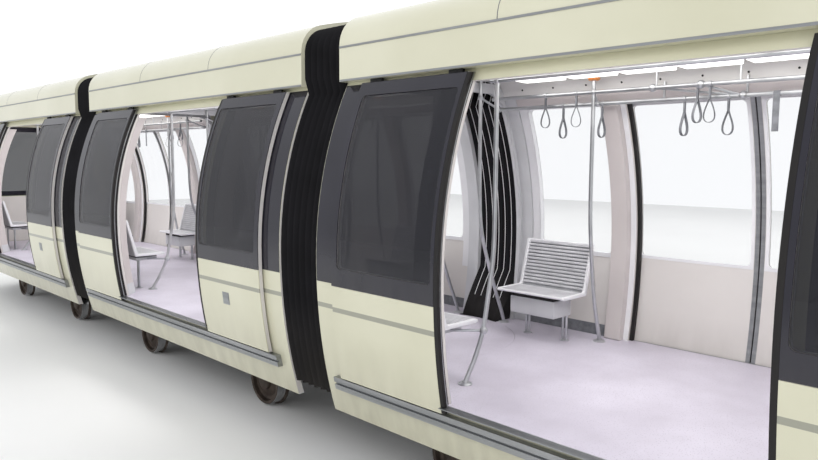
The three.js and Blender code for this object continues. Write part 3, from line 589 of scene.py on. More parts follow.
def slidingLeaf(name, cx, pair, hand, letter, side):
    body = f"{name}_{pair}_leaf_{letter}"
    width, rubber, (low, top) = leaf["width"], leaf["rubber"], leaf["z"]
    window, windowZ = (leaf["border"], width - leaf["border"]), leaf["windowZ"][hand]
    lead = leaf["lead"][pair]

    def placed(x):
        return span(side, (lead + x[0], lead + x[1]), cx)

    # curved plates: name, x, z, insets, how far inside the window's edge it is cut, finish
    plates = [("core", (0.026, width), leaf["z"], (0.006, 0.038), 0.0, liningLaminate),
              ("lower_skin", (rubber + 0.001, width), (low, leaf["split"] - 0.003), (0.0, 0.0065), None,
               bandedEnamel),
              ("frit", (rubber + 0.001, width), (leaf["split"], top), (0.0, 0.0062), 0.0, blackFrit),
              ("pane", inset(window, -0.01), inset(windowZ, -0.01), (0.0065, 0.0125), None, paneGlass[hand]),
              ("window_trim", inset(window, -0.022), inset(windowZ, -0.022), (0.03, 0.041), 0.003,
               windowMoulding),
              ("stile_bead", (0.002, rubber + 0.004), leaf["z"], (0.0285, 0.0385), None, anodisedAluminium)]
    for title, x, z, depths, shrink, material in plates:
        plate = panel(placed(x), z, depths, hand)
        if shrink is not None:
            plate = carve(plate, block(bmesh.new(), placed(inset(window, shrink)), across[hand],
                                       inset(windowZ, shrink), corner=leaf["corner"], along=1, segments=6))
        finished(f"{body}_{title}", plate, body, material, replaces=[body] if title == "core" else ())

    seal = bmesh.new()
    verts = barrelPanel(seal, placed((0.0, rubber)), inset(leaf["z"], 0.004), (0.0005, 0.028), hand)
    nose = side * min(side * v.co.x for v in verts)
    edges = [e for e in seal.edges if all(abs(v.co.x - nose) < 1e-5 for v in e.verts)
             and len(e.link_faces) == 2 and e.calc_face_angle(0) > 1.0 and runs(e, 2) > 1e-4]
    roundOff(seal, edges, 0.01, 3)
    finished(body + "_edge_rubber", seal, body, edgeRubber)

    if letter == "b":
        x = around(width - button["along"], button["half"])
        z = around(button["z"], button["half"])
        plate = panel(placed(x), z, (-0.0012, 0.002), hand)
        barrelPanel(plate, placed(inset(x, button["frame"])), inset(z, button["frame"]),
                    (-0.0028, -0.0002), hand)
        finished(body + "_push_plate", plate, body, anodisedAluminium)

    shoes = bmesh.new()
    for place in (-shoe["x"], shoe["x"]):
        x = cx + side * (lead + width / 2) + place
        block(shoes, around(x, shoe["half"]), span(hand, shoe["y"]), shoe["z"], corner=0.004)
        lathe(shoes, shoe["bolt"], (x, hand * shoe["boltY"], shoe["boltZ"]), "Y", 12)
    finished(body + "_hanger_shoes", shoes, body, fittingBlack)


for name, cx, body, inner in sections:
    for pair, hand in (("door", -1), ("far", 1)):
        for letter, side in ends.items():
            slidingLeaf(name, cx, pair, hand, letter, side)
print("leaves ready")


# Cabin floor, sills and the round plates over the pivots.
cabinFloor = {"half": 1.195, "thick": 0.003, "low": 0.0002, "plateRadius": 0.9, "rim": 0.02,
              "rimTop": 0.0036, "gap": 0.0015, "plateGap": 0.0005, "steps": 96}
sill = {"half": 0.992, "y": (1.195, 1.272), "top": 0.005, "grooves": 5, "first": 0.012, "pitch": 0.0135,
        "groove": 0.005, "grooveZ": (0.0028, 0.02), "grooveHalf": 1.1}
for name, cx, body, inner in sections:
    low = cabinFloor["low"]
    sheet = block(bmesh.new(), around(cx, end), around(0, cabinFloor["half"]), (low, cabinFloor["thick"]))
    for side in inner:
        hole = bmesh.new()
        rod(hole, (cx + side * pivotX, 0, 0), cabinFloor["plateRadius"] + cabinFloor["gap"], (-0.1, 0.1),
            "Z", cabinFloor["steps"])
        sheet = carve(sheet, hole)
    finished(name + "_floor_sheet", sheet, body, sheetVinyl)
    for sideName, hand in sides.items():
        bar = block(bmesh.new(), around(cx, sill["half"]), span(hand, sill["y"]), (low, sill["top"]))
        grooves = bmesh.new()
        for i in range(sill["grooves"]):
            y = sill["y"][0] + sill["first"] + i * sill["pitch"]
            y = span(hand, (y, y + sill["groove"]))
            block(grooves, around(cx, sill["grooveHalf"]), y, sill["grooveZ"])
        finished(f"{name}_{sideName}_sill", carve(bar, grooves), body, anodisedAluminium)
for name, side in outerSections:
    spot = (side * pivotX, 0, 0)
    outer = cabinFloor["plateRadius"] - cabinFloor["plateGap"]
    inner = outer - cabinFloor["rim"]
    low, top = cabinFloor["low"], cabinFloor["rimTop"]
    plate, rim = bmesh.new(), bmesh.new()
    rod(plate, spot, inner, (low, cabinFloor["thick"]), "Z", cabinFloor["steps"])
    finished(name + "_pivot_plate_sheet", plate, "mid_body", sheetVinyl)
    lathe(rim, [(inner, low), (outer, low), (outer, 0.002), (outer - 0.004, top), (inner, top),
                (inner, low)],
          spot, "Z", cabinFloor["steps"])
    finished(name + "_pivot_plate_rim", rim, "mid_body", sheetVinyl)
print("floors ready")


# Roof, ceiling and the two rows of lamps on each side of it.
ceiling = {"line": [(0.89, 2.1403), (0.875, 2.2), (0.855, 2.238), (0.82, 2.262), (0.78, 2.2735), (0, 2.3)],
           "coveZ": {-1: (2.078, 2.139), 1: (2.032, 2.139)}, "seamX": 0.75, "seamHalf": 0.003,
           "half": 0.895, "topZ": 2.31, "screwX": 0.33, "screwY": 0.8735, "screwZ": 2.2, "screws": 6,
           "screw": [(0, -0.004), (0.007, -0.004), (0.009, 0.0), (0.009, 0.003), (0, 0.003)],
           "gutters": [((1.046, 1.056), (2.385, 2.4), 0.003), ((1.046, 1.053), (2.1406, 2.156), 0.002)]}
lampRow = {"rows": [((0.06, 0.30), -1.65), ((0.5, 0.68), -1.79)],  # y, and where the first lamp starts
           "long": 0.4, "pitch": 0.475, "deep": 0.045, "reach": 1.88, "frame": 0.012, "top": 0.006,
           "frameDeep": 0.003, "corner": 0.004, "frameCorner": 0.001}


def ceilingZ(y):
    line = ceiling["line"]
    for (y1, z1), (y0, z0) in zip(line, line[1:]):
        if y >= y0:
            return z0 + (z1 - z0) * (y - y0) / (y1 - y0)
    return line[-1][1]


for name, cx, body, inner in sections:
    under = [(-y, z) for y, z in ceiling["line"]] + [(y, z) for y, z in reversed(ceiling["line"][:-1])]
    shell = prismX(bmesh.new(), roofArc(0, roofLine["lipZ"]) + under, around(cx, end))
    bmesh.ops.recalc_face_normals(shell, faces=shell.faces)
    shell.normal_update()
    for face in shell.faces:
        middle = face.calc_center_median()
        inside = middle.z < floorZ + ceiling["topZ"] and abs(middle.y) < ceiling["half"]
        if inside and abs(face.normal.x) < 0.5:
            face.material_index = 1
    finished(name + "_roof_shell", shell, body, ivoryEnamel, ceilingEnamel, angle=28,
             replaces=[name + "_roof"])

    gutter, seams, covers, frames, cove, screws = [bmesh.new() for i in range(6)]
    for x in (-ceiling["seamX"], ceiling["seamX"]):  # sealed joints between the roof sheets
        line = roofArc(-0.0008, 2.41) + list(reversed(roofArc(0.002, 2.41)))
        prismX(seams, line, around(cx + x, ceiling["seamHalf"]))
    for hand in sides.values():
        for y, z, corner in ceiling["gutters"]:
            block(gutter, inset(around(cx, end), 0.005), span(hand, y), z, corner=corner, along=0)
        barrelPanel(cove, inset(around(cx, end), 0.005), ceiling["coveZ"][hand], (0.099, 0.112), hand)
        for i in range(-ceiling["screws"], ceiling["screws"] + 1):
            spot = (cx + i * ceiling["screwX"], hand * ceiling["screwY"], ceiling["screwZ"])
            lathe(screws, ceiling["screw"], spot, "Y", 12)
        for y, first in lampRow["rows"]:
            tilt = -hand * math.atan2(ceilingZ(y[0]) - ceilingZ(y[1]), y[1] - y[0])
            z = (ceilingZ(y[0]) + ceilingZ(y[1])) / 2
            for i in range(8):
                x = cx + first + i * lampRow["pitch"]
                if abs(x + lampRow["long"] / 2 - cx) > lampRow["reach"]:
                    continue
                x, lampTop = (x, x + lampRow["long"]), z + lampRow["top"]
                block(covers, x, span(hand, y), (z - lampRow["deep"], lampTop), corner=lampRow["corner"],
                      tilt=tilt)
                block(frames, inset(x, -lampRow["frame"]), span(hand, inset(y, -lampRow["frame"])),
                      (z - lampRow["frameDeep"], lampTop), corner=lampRow["frameCorner"], tilt=tilt)
    for title, bm, material in (("rain_gutters", gutter, anodisedAluminium),
                                ("roof_seams", seams, strapNylon),
                                ("lamp_covers", covers, opalAcrylic), ("lamp_frames", frames, frameGrey),
                                ("cove_strips", cove, blushLaminate), ("cove_screws", screws, fittingBlack)):
        finished(f"{name}_{title}", bm, body, material)
print("roofs ready")


# Handrails: poles, rails, struts, clamps, and strap loops on the far side.
rail = {"radius": 0.0165, "upperZ": 2.12, "lowerZ": 2.03, "lowerY": 0.8, "strut": 0.011, "clamp": 0.026,
        "half": {"near": 1.25, "far": 2.205}, "hangerX": (-0.62, 0.0, 0.62), "braceX": (-0.28, -0.65),
        "braceBall": 0.032, "brace": 0.009, "collar": 0.018, "collarHalf": 0.004, "screwRing": 0.037,
        "hanger": 0.008, "armEnd": 0.872, "armHalf": 0.006, "plateY": (0.862, 0.874), "plateTop": 2.18,
        "round": 0.003}
poleBend = {  # (y, z) from the floor up; the top is worked out from the ceiling
    "near": [(0.78, 0.012), (0.735, 0.08), (0.68, 0.16), (0.59, 0.34), (0.545, 0.57), (0.515, 0.72),
             (0.49, 0.87), (0.48, 1.05), (0.48, 1.7)],
    "far": [(0.95, 0.012), (0.935, 0.08), (0.91, 0.16), (0.85, 0.35), (0.8, 0.62), (0.755, 0.93),
            (0.735, 1.2), (0.735, 1.7)],
    "farEnd": [(0.93, 0.012), (0.905, 0.08), (0.87, 0.16), (0.78, 0.35), (0.67, 0.62), (0.58, 0.86),
               (0.54, 1.1), (0.53, 1.7)]}
poles = {"near": [(1.195, "near")], "far": [(1.16, "far"), (2.185, "farEnd")]}
turned = {"foot": [(0, 0.0034), (0.052, 0.0034), (0.052, 0.008), (0.046, 0.013), (0.024, 0.017),
                   (0.021, 0.026), (0, 0.026)],
          "footScrew": [(0, 0.009), (0.006, 0.009), (0.005, 0.0175), (0, 0.018)],
          "topCup": [(0, -0.012), (0.034, -0.012), (0.036, 0), (0.03, 0.003), (0, 0.003)],
          "strapClamp": [(0.0166, -0.013), (0.022, -0.011), (0.023, 0), (0.022, 0.011), (0.0166, 0.013)],
          "bandLoop": [(0.0168, -0.0225), (0.0195, -0.0225), (0.0195, 0.0225), (0.0168, 0.0225),
                       (0.0168, -0.0225)],
          "poleCap": [(0, -0.062), (0.038, -0.062), (0.048, -0.054), (0.05, -0.04), (0.037, -0.03),
                      (0, -0.03)]}
straps = [  # rail, x from the section's middle, turn of the loop about its neck in degrees
    ("upper", -1.625, 10), ("lower", -1.486, 78), ("upper", -1.32, 20), ("lower", -1.115, 80),
    ("lower", -0.423, 76), ("upper", -0.3, 68), ("upper", -0.21, 5), ("lower", -0.1, -8),
    ("lower", 1.0, 65), ("upper", 1.245, 22), ("lower", 1.41, 78), ("upper", 1.56, 18)]
wideStrap = {"x": 0.225, "wide": 0.045, "drop": 0.26}
loop = {"long": 0.185, "wide": 0.062, "strap": 0.022, "thick": 0.004, "neck": 0.085, "steps": 24}


def strapLoop(target, spot, turnAngle):
    x, y, z = spot
    bm = bmesh.new()
    ring = []
    for i in range(loop["steps"]):
        angle = 2 * math.pi * i / loop["steps"]
        wide = loop["wide"] * math.sin(angle) * (0.55 - 0.45 * math.cos(angle))
        ring.append(bm.verts.new((wide, -loop["strap"] / 2, -loop["long"] / 2 * (1 - math.cos(angle)))))
    edges = [bm.edges.new((ring[i], ring[(i + 1) % len(ring)])) for i in range(len(ring))]
    grown = bmesh.ops.extrude_edge_only(bm, edges=edges)
    bmesh.ops.translate(bm, vec=(0, loop["strap"], 0), verts=newVerts(grown))
    bmesh.ops.recalc_face_normals(bm, faces=bm.faces)
    bmesh.ops.solidify(bm, geom=bm.faces[:], thickness=loop["thick"])
    bmesh.ops.rotate(bm, cent=(0, 0, 0), matrix=Matrix.Rotation(math.radians(turnAngle), 3, "Z"),
                     verts=bm.verts)
    bmesh.ops.translate(bm, vec=(x, y, z - loop["neck"] + floorZ), verts=bm.verts)
    block(bm, around(x, 0.007), around(y, 0.011), (z - loop["neck"] - 0.012, z - 0.016), corner=0.003)
    pour(target, bm)


for name, cx, body, inner in sections:
    for sideName, hand in sides.items():
        tubes, fittings = bmesh.new(), bmesh.new()
        tag = f"{name}_{sideName}"
        far = sideName == "far"
        upper, lower = (poleBend[sideName][-1][0], rail["upperZ"]), (rail["lowerY"], rail["lowerZ"])
        for x, bendName in poles[sideName]:
            bend = poleBend[bendName]
            footY, topY = hand * bend[0][0], bend[-1][0]
            for side in ends.values():
                px = cx + side * x
                line = [(px, hand * y, z) for y, z in bend + [(topY, ceilingZ(topY) - 0.002)]]
                sweep(tubes, line, rail["radius"], rounded=True, resolution=3)
                lathe(fittings, turned["foot"], (px, footY, 0), "Z")
                for i in range(4):
                    angle, ring = math.pi / 4 + i * math.pi / 2, rail["screwRing"]
                    lathe(fittings, turned["footScrew"],
                          (px + ring * math.cos(angle), footY + ring * math.sin(angle), 0), "Z", 10)
                lathe(fittings, turned["topCup"], (px, hand * topY, ceilingZ(topY) - 0.003), "Z")
                joint = (px, hand * topY, rail["upperZ"])
                ball(fittings, joint, rail["clamp"])
                if far:
                    sweep(tubes, [joint, (px, *lower)], rail["strut"])
                    ball(fittings, (px, *lower), rail["clamp"])
        for y, z in [upper, lower] if far else [upper]:
            half = rail["half"][sideName]
            sweep(tubes, [(x, hand * y, z) for x in around(cx, half)], rail["radius"], resolution=3)
            for x in around(cx, half):
                rod(fittings, (x, hand * y, z), rail["collar"], around(0, rail["collarHalf"]), "X", 20)
        for x in rail["hangerX"]:  # they hold the rails to the ceiling and the cove
            drop = ceilingZ(upper[0]) - upper[1] - 0.002
            rod(fittings, (cx + x, hand * upper[0], upper[1]), rail["hanger"], (0, drop), "Z")
            if far:
                x = around(cx + x, rail["hanger"])
                armZ = around(lower[1], rail["armHalf"])
                block(fittings, x, (lower[0], rail["armEnd"]), armZ, corner=rail["round"])
                block(fittings, x, rail["plateY"], (armZ[0], rail["plateTop"]), corner=rail["round"])
        if far:  # braces that spread from one joint on the lower rail to two on the upper rail
            ball(fittings, (cx, *lower), rail["braceBall"])
            for x in rail["braceX"]:
                ball(fittings, (cx + x, *upper), rail["braceBall"])
                sweep(tubes, [(cx + x, *upper), (cx, *lower)], rail["brace"])
            loops, band, caps = bmesh.new(), bmesh.new(), bmesh.new()
            for level, x, turnAngle in straps:
                y, z = upper if level == "upper" else lower
                lathe(fittings, turned["strapClamp"], (cx + x, y, z), "X", 20)
                strapLoop(loops, (cx + x, y, z - 0.008), turnAngle)
            x = cx + wideStrap["x"]  # one wide strap left hanging from the lower rail
            block(band, around(x, wideStrap["wide"] / 2), (lower[0] - 0.0185, lower[0] - 0.0155),
                  (lower[1] - wideStrap["drop"], lower[1]), corner=0.0012)
            lathe(band, turned["bandLoop"], (x, *lower), "X", 20)
            for side in ends.values():
                spot = (cx + side * poles["far"][0][0], upper[0], ceilingZ(upper[0]))
                lathe(caps, turned["poleCap"], spot, "Z")
            finished(tag + "_strap_loops", loops, body, strapNylon)
            finished(tag + "_wide_strap", band, body, strapNylon)
            finished(tag + "_pole_caps", caps, body, capOrange)
        finished(tag + "_rail_tubes", tubes, body, brushedTube, replaces=[f"{name}_handrails_{sideName}"])
        finished(tag + "_rail_fittings", fittings, body, brushedTube)
print("handrails ready")


# Slatted benches, back to each side wall; the near ones stand further out.
bench = {"x": (1.24, 1.93), "seatZ": 0.43, "front": 0.49, "joint": 0.83, "back": 0.945, "top": 0.845,
         "out": {"near": 0.1, "far": 0.0}, "slat": 0.0215, "pitch": 0.0312, "thick": 0.008,
         "slatRound": 0.0035, "cap": 0.028, "capRound": 0.006, "edgeTube": 0.011, "boxY": (0.535, 0.8),
         "boxZ": {"near": (0.335, 0.375), "far": (0.225, 0.375)}, "boxInset": 0.115, "boxRound": 0.012,
         "legY": 0.76, "legInset": 0.15, "legGap": 0.034, "leg": 0.0105,
         "foot": [(0, 0.0034), (0.04, 0.0034), (0.04, 0.008), (0.034, 0.012), (0, 0.012)],
         "tieY": (0.5877, 0.8), "tieIn": 0.205, "tieZ": 0.352, "tieBall": 0.03, "margin": 0.006}
# Outlines in points from the seat's front edge, its joint with the back, or the back's top edge.
capLine = [("front", 0, 0.418), ("front", 0.004, 0.428), ("front", 0.02, 0.434), ("joint", -0.02, 0.434),
           ("joint", -0.004, 0.446), ("back", -0.012, -0.006), ("back", -0.004, -0.001),
           ("back", 0.014, -0.001), ("back", 0.02, -0.008), ("joint", 0.028, 0.42), ("joint", 0.018, 0.402),
           ("front", 0.03, 0.402), ("front", 0.006, 0.408)]
shellLine = [("front", 0.03, 0.404), ("front", 0.03, 0.4165), ("joint", 0.013, 0.4165),
             ("back", 0.014, -0.02), ("back", 0.019, -0.02), ("joint", 0.024, 0.404)]
edgeTubes = [("back", 0.006, -0.012), ("front", 0.012, 0.42)]


def slattedBench(name, cx, body, sideName, hand, letter, side):
    tag = f"{name}_{sideName}_bench"
    x = span(side, bench["x"], cx)
    out = bench["out"][sideName]
    front, joint, back = bench["front"] + out, bench["joint"] + out, bench["back"] + out
    seatZ, topZ, thick, wide = bench["seatZ"], bench["top"], bench["thick"], bench["slat"]
    slats, caps, shell, legs = bmesh.new(), bmesh.new(), bmesh.new(), bmesh.new()
    rounding = {"corner": bench["slatRound"], "along": 0, "segments": 2}
    anchors = {"front": (front, 0), "joint": (joint, 0), "back": (back, topZ)}

    def placed(points):
        return [(hand * (anchors[key][0] + y), anchors[key][1] + z) for key, y, z in points]

    slatX = inset(x, bench["margin"])
    y = front + 0.02
    while y < joint - 0.01:
        block(slats, slatX, span(hand, (y, y + wide)), (seatZ - thick, seatZ), **rounding)
        y += bench["pitch"]
    lean = (back - joint, topZ - seatZ)
    length = math.hypot(*lean)
    tilt = -hand * math.atan2(*lean)
    step = 0.03
    while step < length - 0.022:
        y, z = joint + lean[0] * step / length + 0.006, seatZ + lean[1] * step / length
        block(slats, slatX, span(hand, around(y, thick / 2)), around(z, wide / 2), tilt=tilt, **rounding)
        step += bench["pitch"]
    finished(f"{tag}_slats_{letter}", slats, body, seatCoating,
             replaces=[f"{name}_bench_{sideName}_{letter}"])

    for reach in ((x[0], x[0] + bench["cap"]), (x[1] - bench["cap"], x[1])):
        cap = prismX(bmesh.new(), placed(capLine), reach)
        roundOff(cap, [e for e in cap.edges if runs(e, 0) < 1e-6], bench["capRound"], 3)
        pour(caps, cap)
    for y, z in placed(edgeTubes):
        sweep(caps, [(tubeX, y, z) for tubeX in inset(x, 0.01)], bench["edgeTube"], resolution=3)
    finished(f"{tag}_end_caps_{letter}", caps, body, windowMoulding, slot="seat_metal")
    prismX(shell, placed(shellLine), inset(x, 0.026))  # pressed sheet behind the slats
    # The pressed sheet takes the darker copy of the seat steel: painted shade behind the slats.
    finished(f"{tag}_shell_{letter}", shell, body, seatShadow)

    boxX, boxZ = inset(x, bench["boxInset"]), bench["boxZ"][sideName]
    boxY = (bench["boxY"][0] + out, bench["boxY"][1] + out)
    box = block(bmesh.new(), boxX, span(hand, boxY), boxZ, corner=bench["boxRound"])
    finished(f"{tag}_box_{letter}", box, body, frameGrey, slot="seat_metal")
    # A black block fills the space between the box and the seat: painted shade in that gap.
    gap = block(bmesh.new(), inset(boxX, 0.01), span(hand, inset(boxY, bench["margin"])),
                (boxZ[1] - 0.005, 0.4035))
    finished(f"{tag}_gap_{letter}", gap, body, edgeRubber)
    for legX in inset(x, bench["legInset"]):  # pairs of thin tubes on one foot
        legY = hand * (bench["legY"] + out)
        lathe(legs, bench["foot"], (legX, legY, 0), "Z", 24)
        for tubeX in around(legX, bench["legGap"] / 2):
            rod(legs, (tubeX, legY, 0), bench["leg"], (0.01, boxZ[0] + 0.01), "Z")
    if sideName == "near":  # a tube that ties the bench to the pole beside it
        px, (outY, inY), z = cx + side * poles["near"][0][0], bench["tieY"], bench["tieZ"]
        ball(legs, (px, hand * outY, z), bench["tieBall"])
        sweep(legs, [(px, hand * outY, z), (px + side * bench["tieIn"], hand * inY, z)], bench["leg"])
    finished(f"{tag}_legs_{letter}", legs, body, brushedTube)


for name, cx, body, inner in sections:
    for sideName, hand in sides.items():
        for letter, side in ends.items():
            slattedBench(name, cx, body, sideName, hand, letter, side)
print("benches ready")


# Gangway arches and bellows.
gangway = {"folds": 6, "outer": 0.064, "valley": 0.108, "inner": 0.116, "innerAmp": 0.008, "bottom": -0.25,
           "eaves": 0.06, "roofInset": 0.03, "skirtTop": 0.47, "skirtHalf": 0.935,
           "half": pivotX - end - 0.0008, "rows": 26, "piping": 0.004, "pipingFrom": 0.17,
           "archX": (end - 0.04, end - 0.001)}
# The arch's outer and inner line: inset of the sides, their height, and the points on towards the crown.
archLines = [(0.1, 2.1, [(0.87, 2.2), (0.82, 2.258)]), (0.155, 2.05, [(0.8, 2.14), (0.7, 2.17)])]


def bellowsLine(depth, sloped=False):
    low, top = gangway["bottom"], roofLine["lipZ"] - gangway["eaves"]
    side = []
    for i in range(gangway["rows"] + 1):
        z = low + (top - low) * i / gangway["rows"]
        y = halfWidth(z, depth)
        if sloped and z < gangway["skirtTop"]:
            y = gangway["skirtHalf"] + (y - gangway["skirtHalf"]) * max(z, 0) / gangway["skirtTop"]
        side.append((y, z))
    return side + roofArc(depth - gangway["roofInset"], 2.2) + [(-y, z) for y, z in reversed(side)]


for name, cx, body, inner in sections:
    for side in inner:
        lines = []
        for depth, top, crown in archLines:
            rise = [top * i / 16 for i in range(17)]
            lines.append(closedLine([(halfWidth(z, depth), z) for z in rise] + crown))
        arch = prismX(bmesh.new(), lines[0] + lines[1][::-1], span(side, gangway["archX"], cx))
        finished(f"{name}_gangway_arch_{'b' if side > 0 else 'a'}", arch, body, frameGrey)

for name, side in outerSections:
    px = side * pivotX
    rows, folds = len(bellowsLine(0.1)) - 1, gangway["folds"]
    folded, piping = bmesh.new(), bmesh.new()
    made = bmesh.ops.create_grid(folded, x_segments=folds * 6, y_segments=rows, size=0.5)["verts"]
    grown = newVerts(bmesh.ops.extrude_face_region(folded, geom=list(folded.faces)))
    mean, swing = (gangway["outer"] + gangway["valley"]) / 2, (gangway["valley"] - gangway["outer"]) / 2
    lines = {}
    for v, sloped in [(v, False) for v in made] + [(v, True) for v in grown]:
        wave = math.cos(2 * math.pi * folds * v.co.x)
        depth = gangway["inner"] - gangway["innerAmp"] * wave if sloped else mean - swing * wave
        key = (round(depth, 5), sloped)
        if key not in lines:
            lines[key] = bellowsLine(depth, sloped)
        y, z = lines[key][round((v.co.y + 0.5) * rows)]
        v.co = (px + v.co.x * 2 * gangway["half"], y, z + floorZ)
    line = bellowsLine(gangway["inner"] + gangway["innerAmp"] + 0.002, sloped=True)
    line = [(y, z) for y, z in line if z > gangway["pipingFrom"]]
    for i in range(1, folds):
        x = px + (i / folds - 0.5) * 2 * gangway["half"]
        sweep(piping, [(x, y, z) for y, z in line], gangway["piping"], resolution=0)
    fabric = finished(name + "_bellows_fabric", folded, None, coatedFabric, angle=50,
                      replaces=[name + "_bellows"])
    welts = finished(name + "_bellows_piping", piping, None, foldPiping, angle=70)
    for piece in (fabric, welts):
        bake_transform(piece)
print("gangways ready")


# Noses, windscreens and lamps.
noseForm = {"depth": 0.6, "skin": 0.045, "sideEnd": 0.08, "faceHalf": 0.69, "faceBow": 0.012,
            "cornerFromTip": 0.06, "cornerIn": 0.09, "rows": 30, "columns": 60,
            "back": layout["pitch"] + end, "gap": 0.0003,
            "turnFrom": 0.12, "turnLong": 0.6, "faceFrom": 0.72, "faceLong": 0.28}
screen = {"z": (0.85, 2.13), "halves": (1.05, 0.78), "corner": 0.11}
# Layers in the screen's opening: name, depths, gap round them, inset of the hole in their middle, finish.
screenLayers = [("screen_glass", (0.004, 0.012), 0.002, None, screenGlass),
                ("screen_gasket", (0.002, 0.03), 0.001, 0.022, edgeRubber),
                ("screen_frit", (0.0125, 0.0145), 0.004, 0.09, blackFrit)]
lampBand = {"half": 0.64, "z": (0.33, 0.43), "gap": 0.002, "depths": (0.003, 0.03), "redFrom": 0.44}
grille = {"half": 0.42, "low": -0.2, "slot": 0.022, "pitch": 0.05, "count": 4}
noseLining = {"y": (-1.4, 1.4), "z": (0.001, 0.84), "x": (0.002, 1.0), "depths": (0.0465, 0.0495)}
# The deck's reach and width are shares of the nose's own outline at the height z.
deckPlan = {"reach": 0.88, "width": 0.93, "thick": 0.05, "gap": 0.001, "z": -0.03}
wiper = {"pivot": (0.0, 0.8), "turn": 64, "hub": 0.022, "hubIn": -0.008, "hubReach": (-0.012, 0.016),
         "arm": 0.62, "armProud": 0.012, "armRadius": 0.007,
         "blade": 0.56, "bladeProud": 0.008, "bladeRadius": 0.005}
towHead = {"x": (0.3, 0.6403), "y": (-0.09, 0.09), "z": (-0.23, -0.11), "corner": 0.012}


def bezier(points, t):
    while len(points) > 1:
        points = [tuple(a + (b - a) * t for a, b in zip(p, q)) for p, q in zip(points, points[1:])]
    return points[0]


# Side view of the nose, from below upwards: reach, height.
tipX = noseForm["depth"]
profileLine = [bezier([(tipX - 0.18, -0.37), (tipX, -0.33), (tipX, 0.1)], i / 8) for i in range(9)]
profileLine += [(tipX, 0.3), (tipX, 0.5)]
for arc, count in (([(tipX, 0.5), (tipX - 0.03, 1.7), (tipX - 0.26, 2.32)], 12),
                   ([(tipX - 0.26, 2.32), (tipX - 0.37, 2.6), (0, 2.8)], 10)):
    profileLine += [bezier(arc, i / count) for i in range(1, count + 1)]
# Half of its back view: half width, height.
low, high = wall["z"]
levels = [low + (high - low) * i / noseForm["rows"] for i in range(noseForm["rows"] + 1)]
crossLine = [(halfWidth(z, 0.05), z) for z in levels]
crossLine += [p for p in roofArc(0, 2.17) if p[0] >= 0]


def noseReach(z):
    for (x0, z0), (x1, z1) in zip(profileLine, profileLine[1:]):
        if z <= z1:
            return x0 + (x1 - x0) * (z - z0) / (z1 - z0)
    return 0.0


# A point of the outer face: from the back along the side, round the corner to the middle of the face.
def nosePoint(index, t):
    w, z = crossLine[index]
    tip, bow = max(noseReach(z), 0.0), noseForm["faceBow"]
    start = (min(noseForm["sideEnd"], tip * 0.2), w)
    corner = (max(tip - noseForm["cornerFromTip"], tip * 0.8), max(w - noseForm["cornerIn"], w * 0.9))
    face = (max(tip - bow, tip * 0.95), min(noseForm["faceHalf"], w * 0.6))
    turnFrom, faceFrom = noseForm["turnFrom"], noseForm["faceFrom"]
    if t < turnFrom:
        x, y = bezier([(0.0, w), start], t / turnFrom)
    elif t < faceFrom:
        x, y = bezier([start, corner, face], (t - turnFrom) / noseForm["turnLong"])
    else:
        middle = (tip + bow * 0.5, face[1] * 0.5)
        x, y = bezier([face, middle, (tip, 0.0)], (t - faceFrom) / noseForm["faceLong"])
    return x, y, z


# A layer of the nose between two depths behind its outer face.
def noseSkin(outerDepth, innerDepth):
    bm = bmesh.new()
    rows = len(crossLine) - 1
    made = bmesh.ops.create_grid(bm, x_segments=noseForm["columns"], y_segments=rows, size=0.5)["verts"]
    for v in made:
        x, y, z = nosePoint(round((v.co.y + 0.5) * rows), 1 - abs(v.co.x * 2))
        v.co = (x, math.copysign(y, v.co.x), z)
    bmesh.ops.remove_doubles(bm, verts=bm.verts, dist=1e-4)
    bmesh.ops.recalc_face_normals(bm, faces=bm.faces)
    front = max(bm.faces, key=lambda f: f.calc_center_median().x)
    if front.normal.x < 0:
        bmesh.ops.reverse_faces(bm, faces=bm.faces)
    if outerDepth:
        bm.normal_update()
        moves = {v: v.normal * -outerDepth for v in bm.verts}
        for v, move in moves.items():
            v.co += move
    bmesh.ops.solidify(bm, geom=bm.faces[:], thickness=innerDepth - outerDepth)
    return bm


def screenCutter(gap):
    (z0, z1), (h0, h1) = inset(screen["z"], gap), screen["halves"]
    corners = ((0.1, gap - h0, z0), (0.1, h0 - gap, z0), (0.1, h1 - gap, z1), (0.1, gap - h1, z1))
    bm = pushed(bmesh.new(), corners, (1, 0, 0))
    roundOff(bm, [e for e in bm.edges if runs(e, 0) > 0.5], screen["corner"], 8)
    return bm


# A cutter in the nose's own frame, whose heights start at the cabin floor.
def noseBlock(y, z, x=(0.3, 1.0)):
    return block(bmesh.new(), x, y, (z[0] - floorZ, z[1] - floorZ))


def finishNose(name, side, title, bm, *materials, replaces=()):
    if side < 0:
        bmesh.ops.scale(bm, vec=(-1, 1, 1), verts=bm.verts)
        bmesh.ops.reverse_faces(bm, faces=bm.faces)
    bmesh.ops.translate(bm, vec=(side * (noseForm["back"] + noseForm["gap"]), 0, floorZ), verts=bm.verts)
    finished(f"{name}_{title}", bm, name + "_body", *materials, angle=40, replaces=replaces)


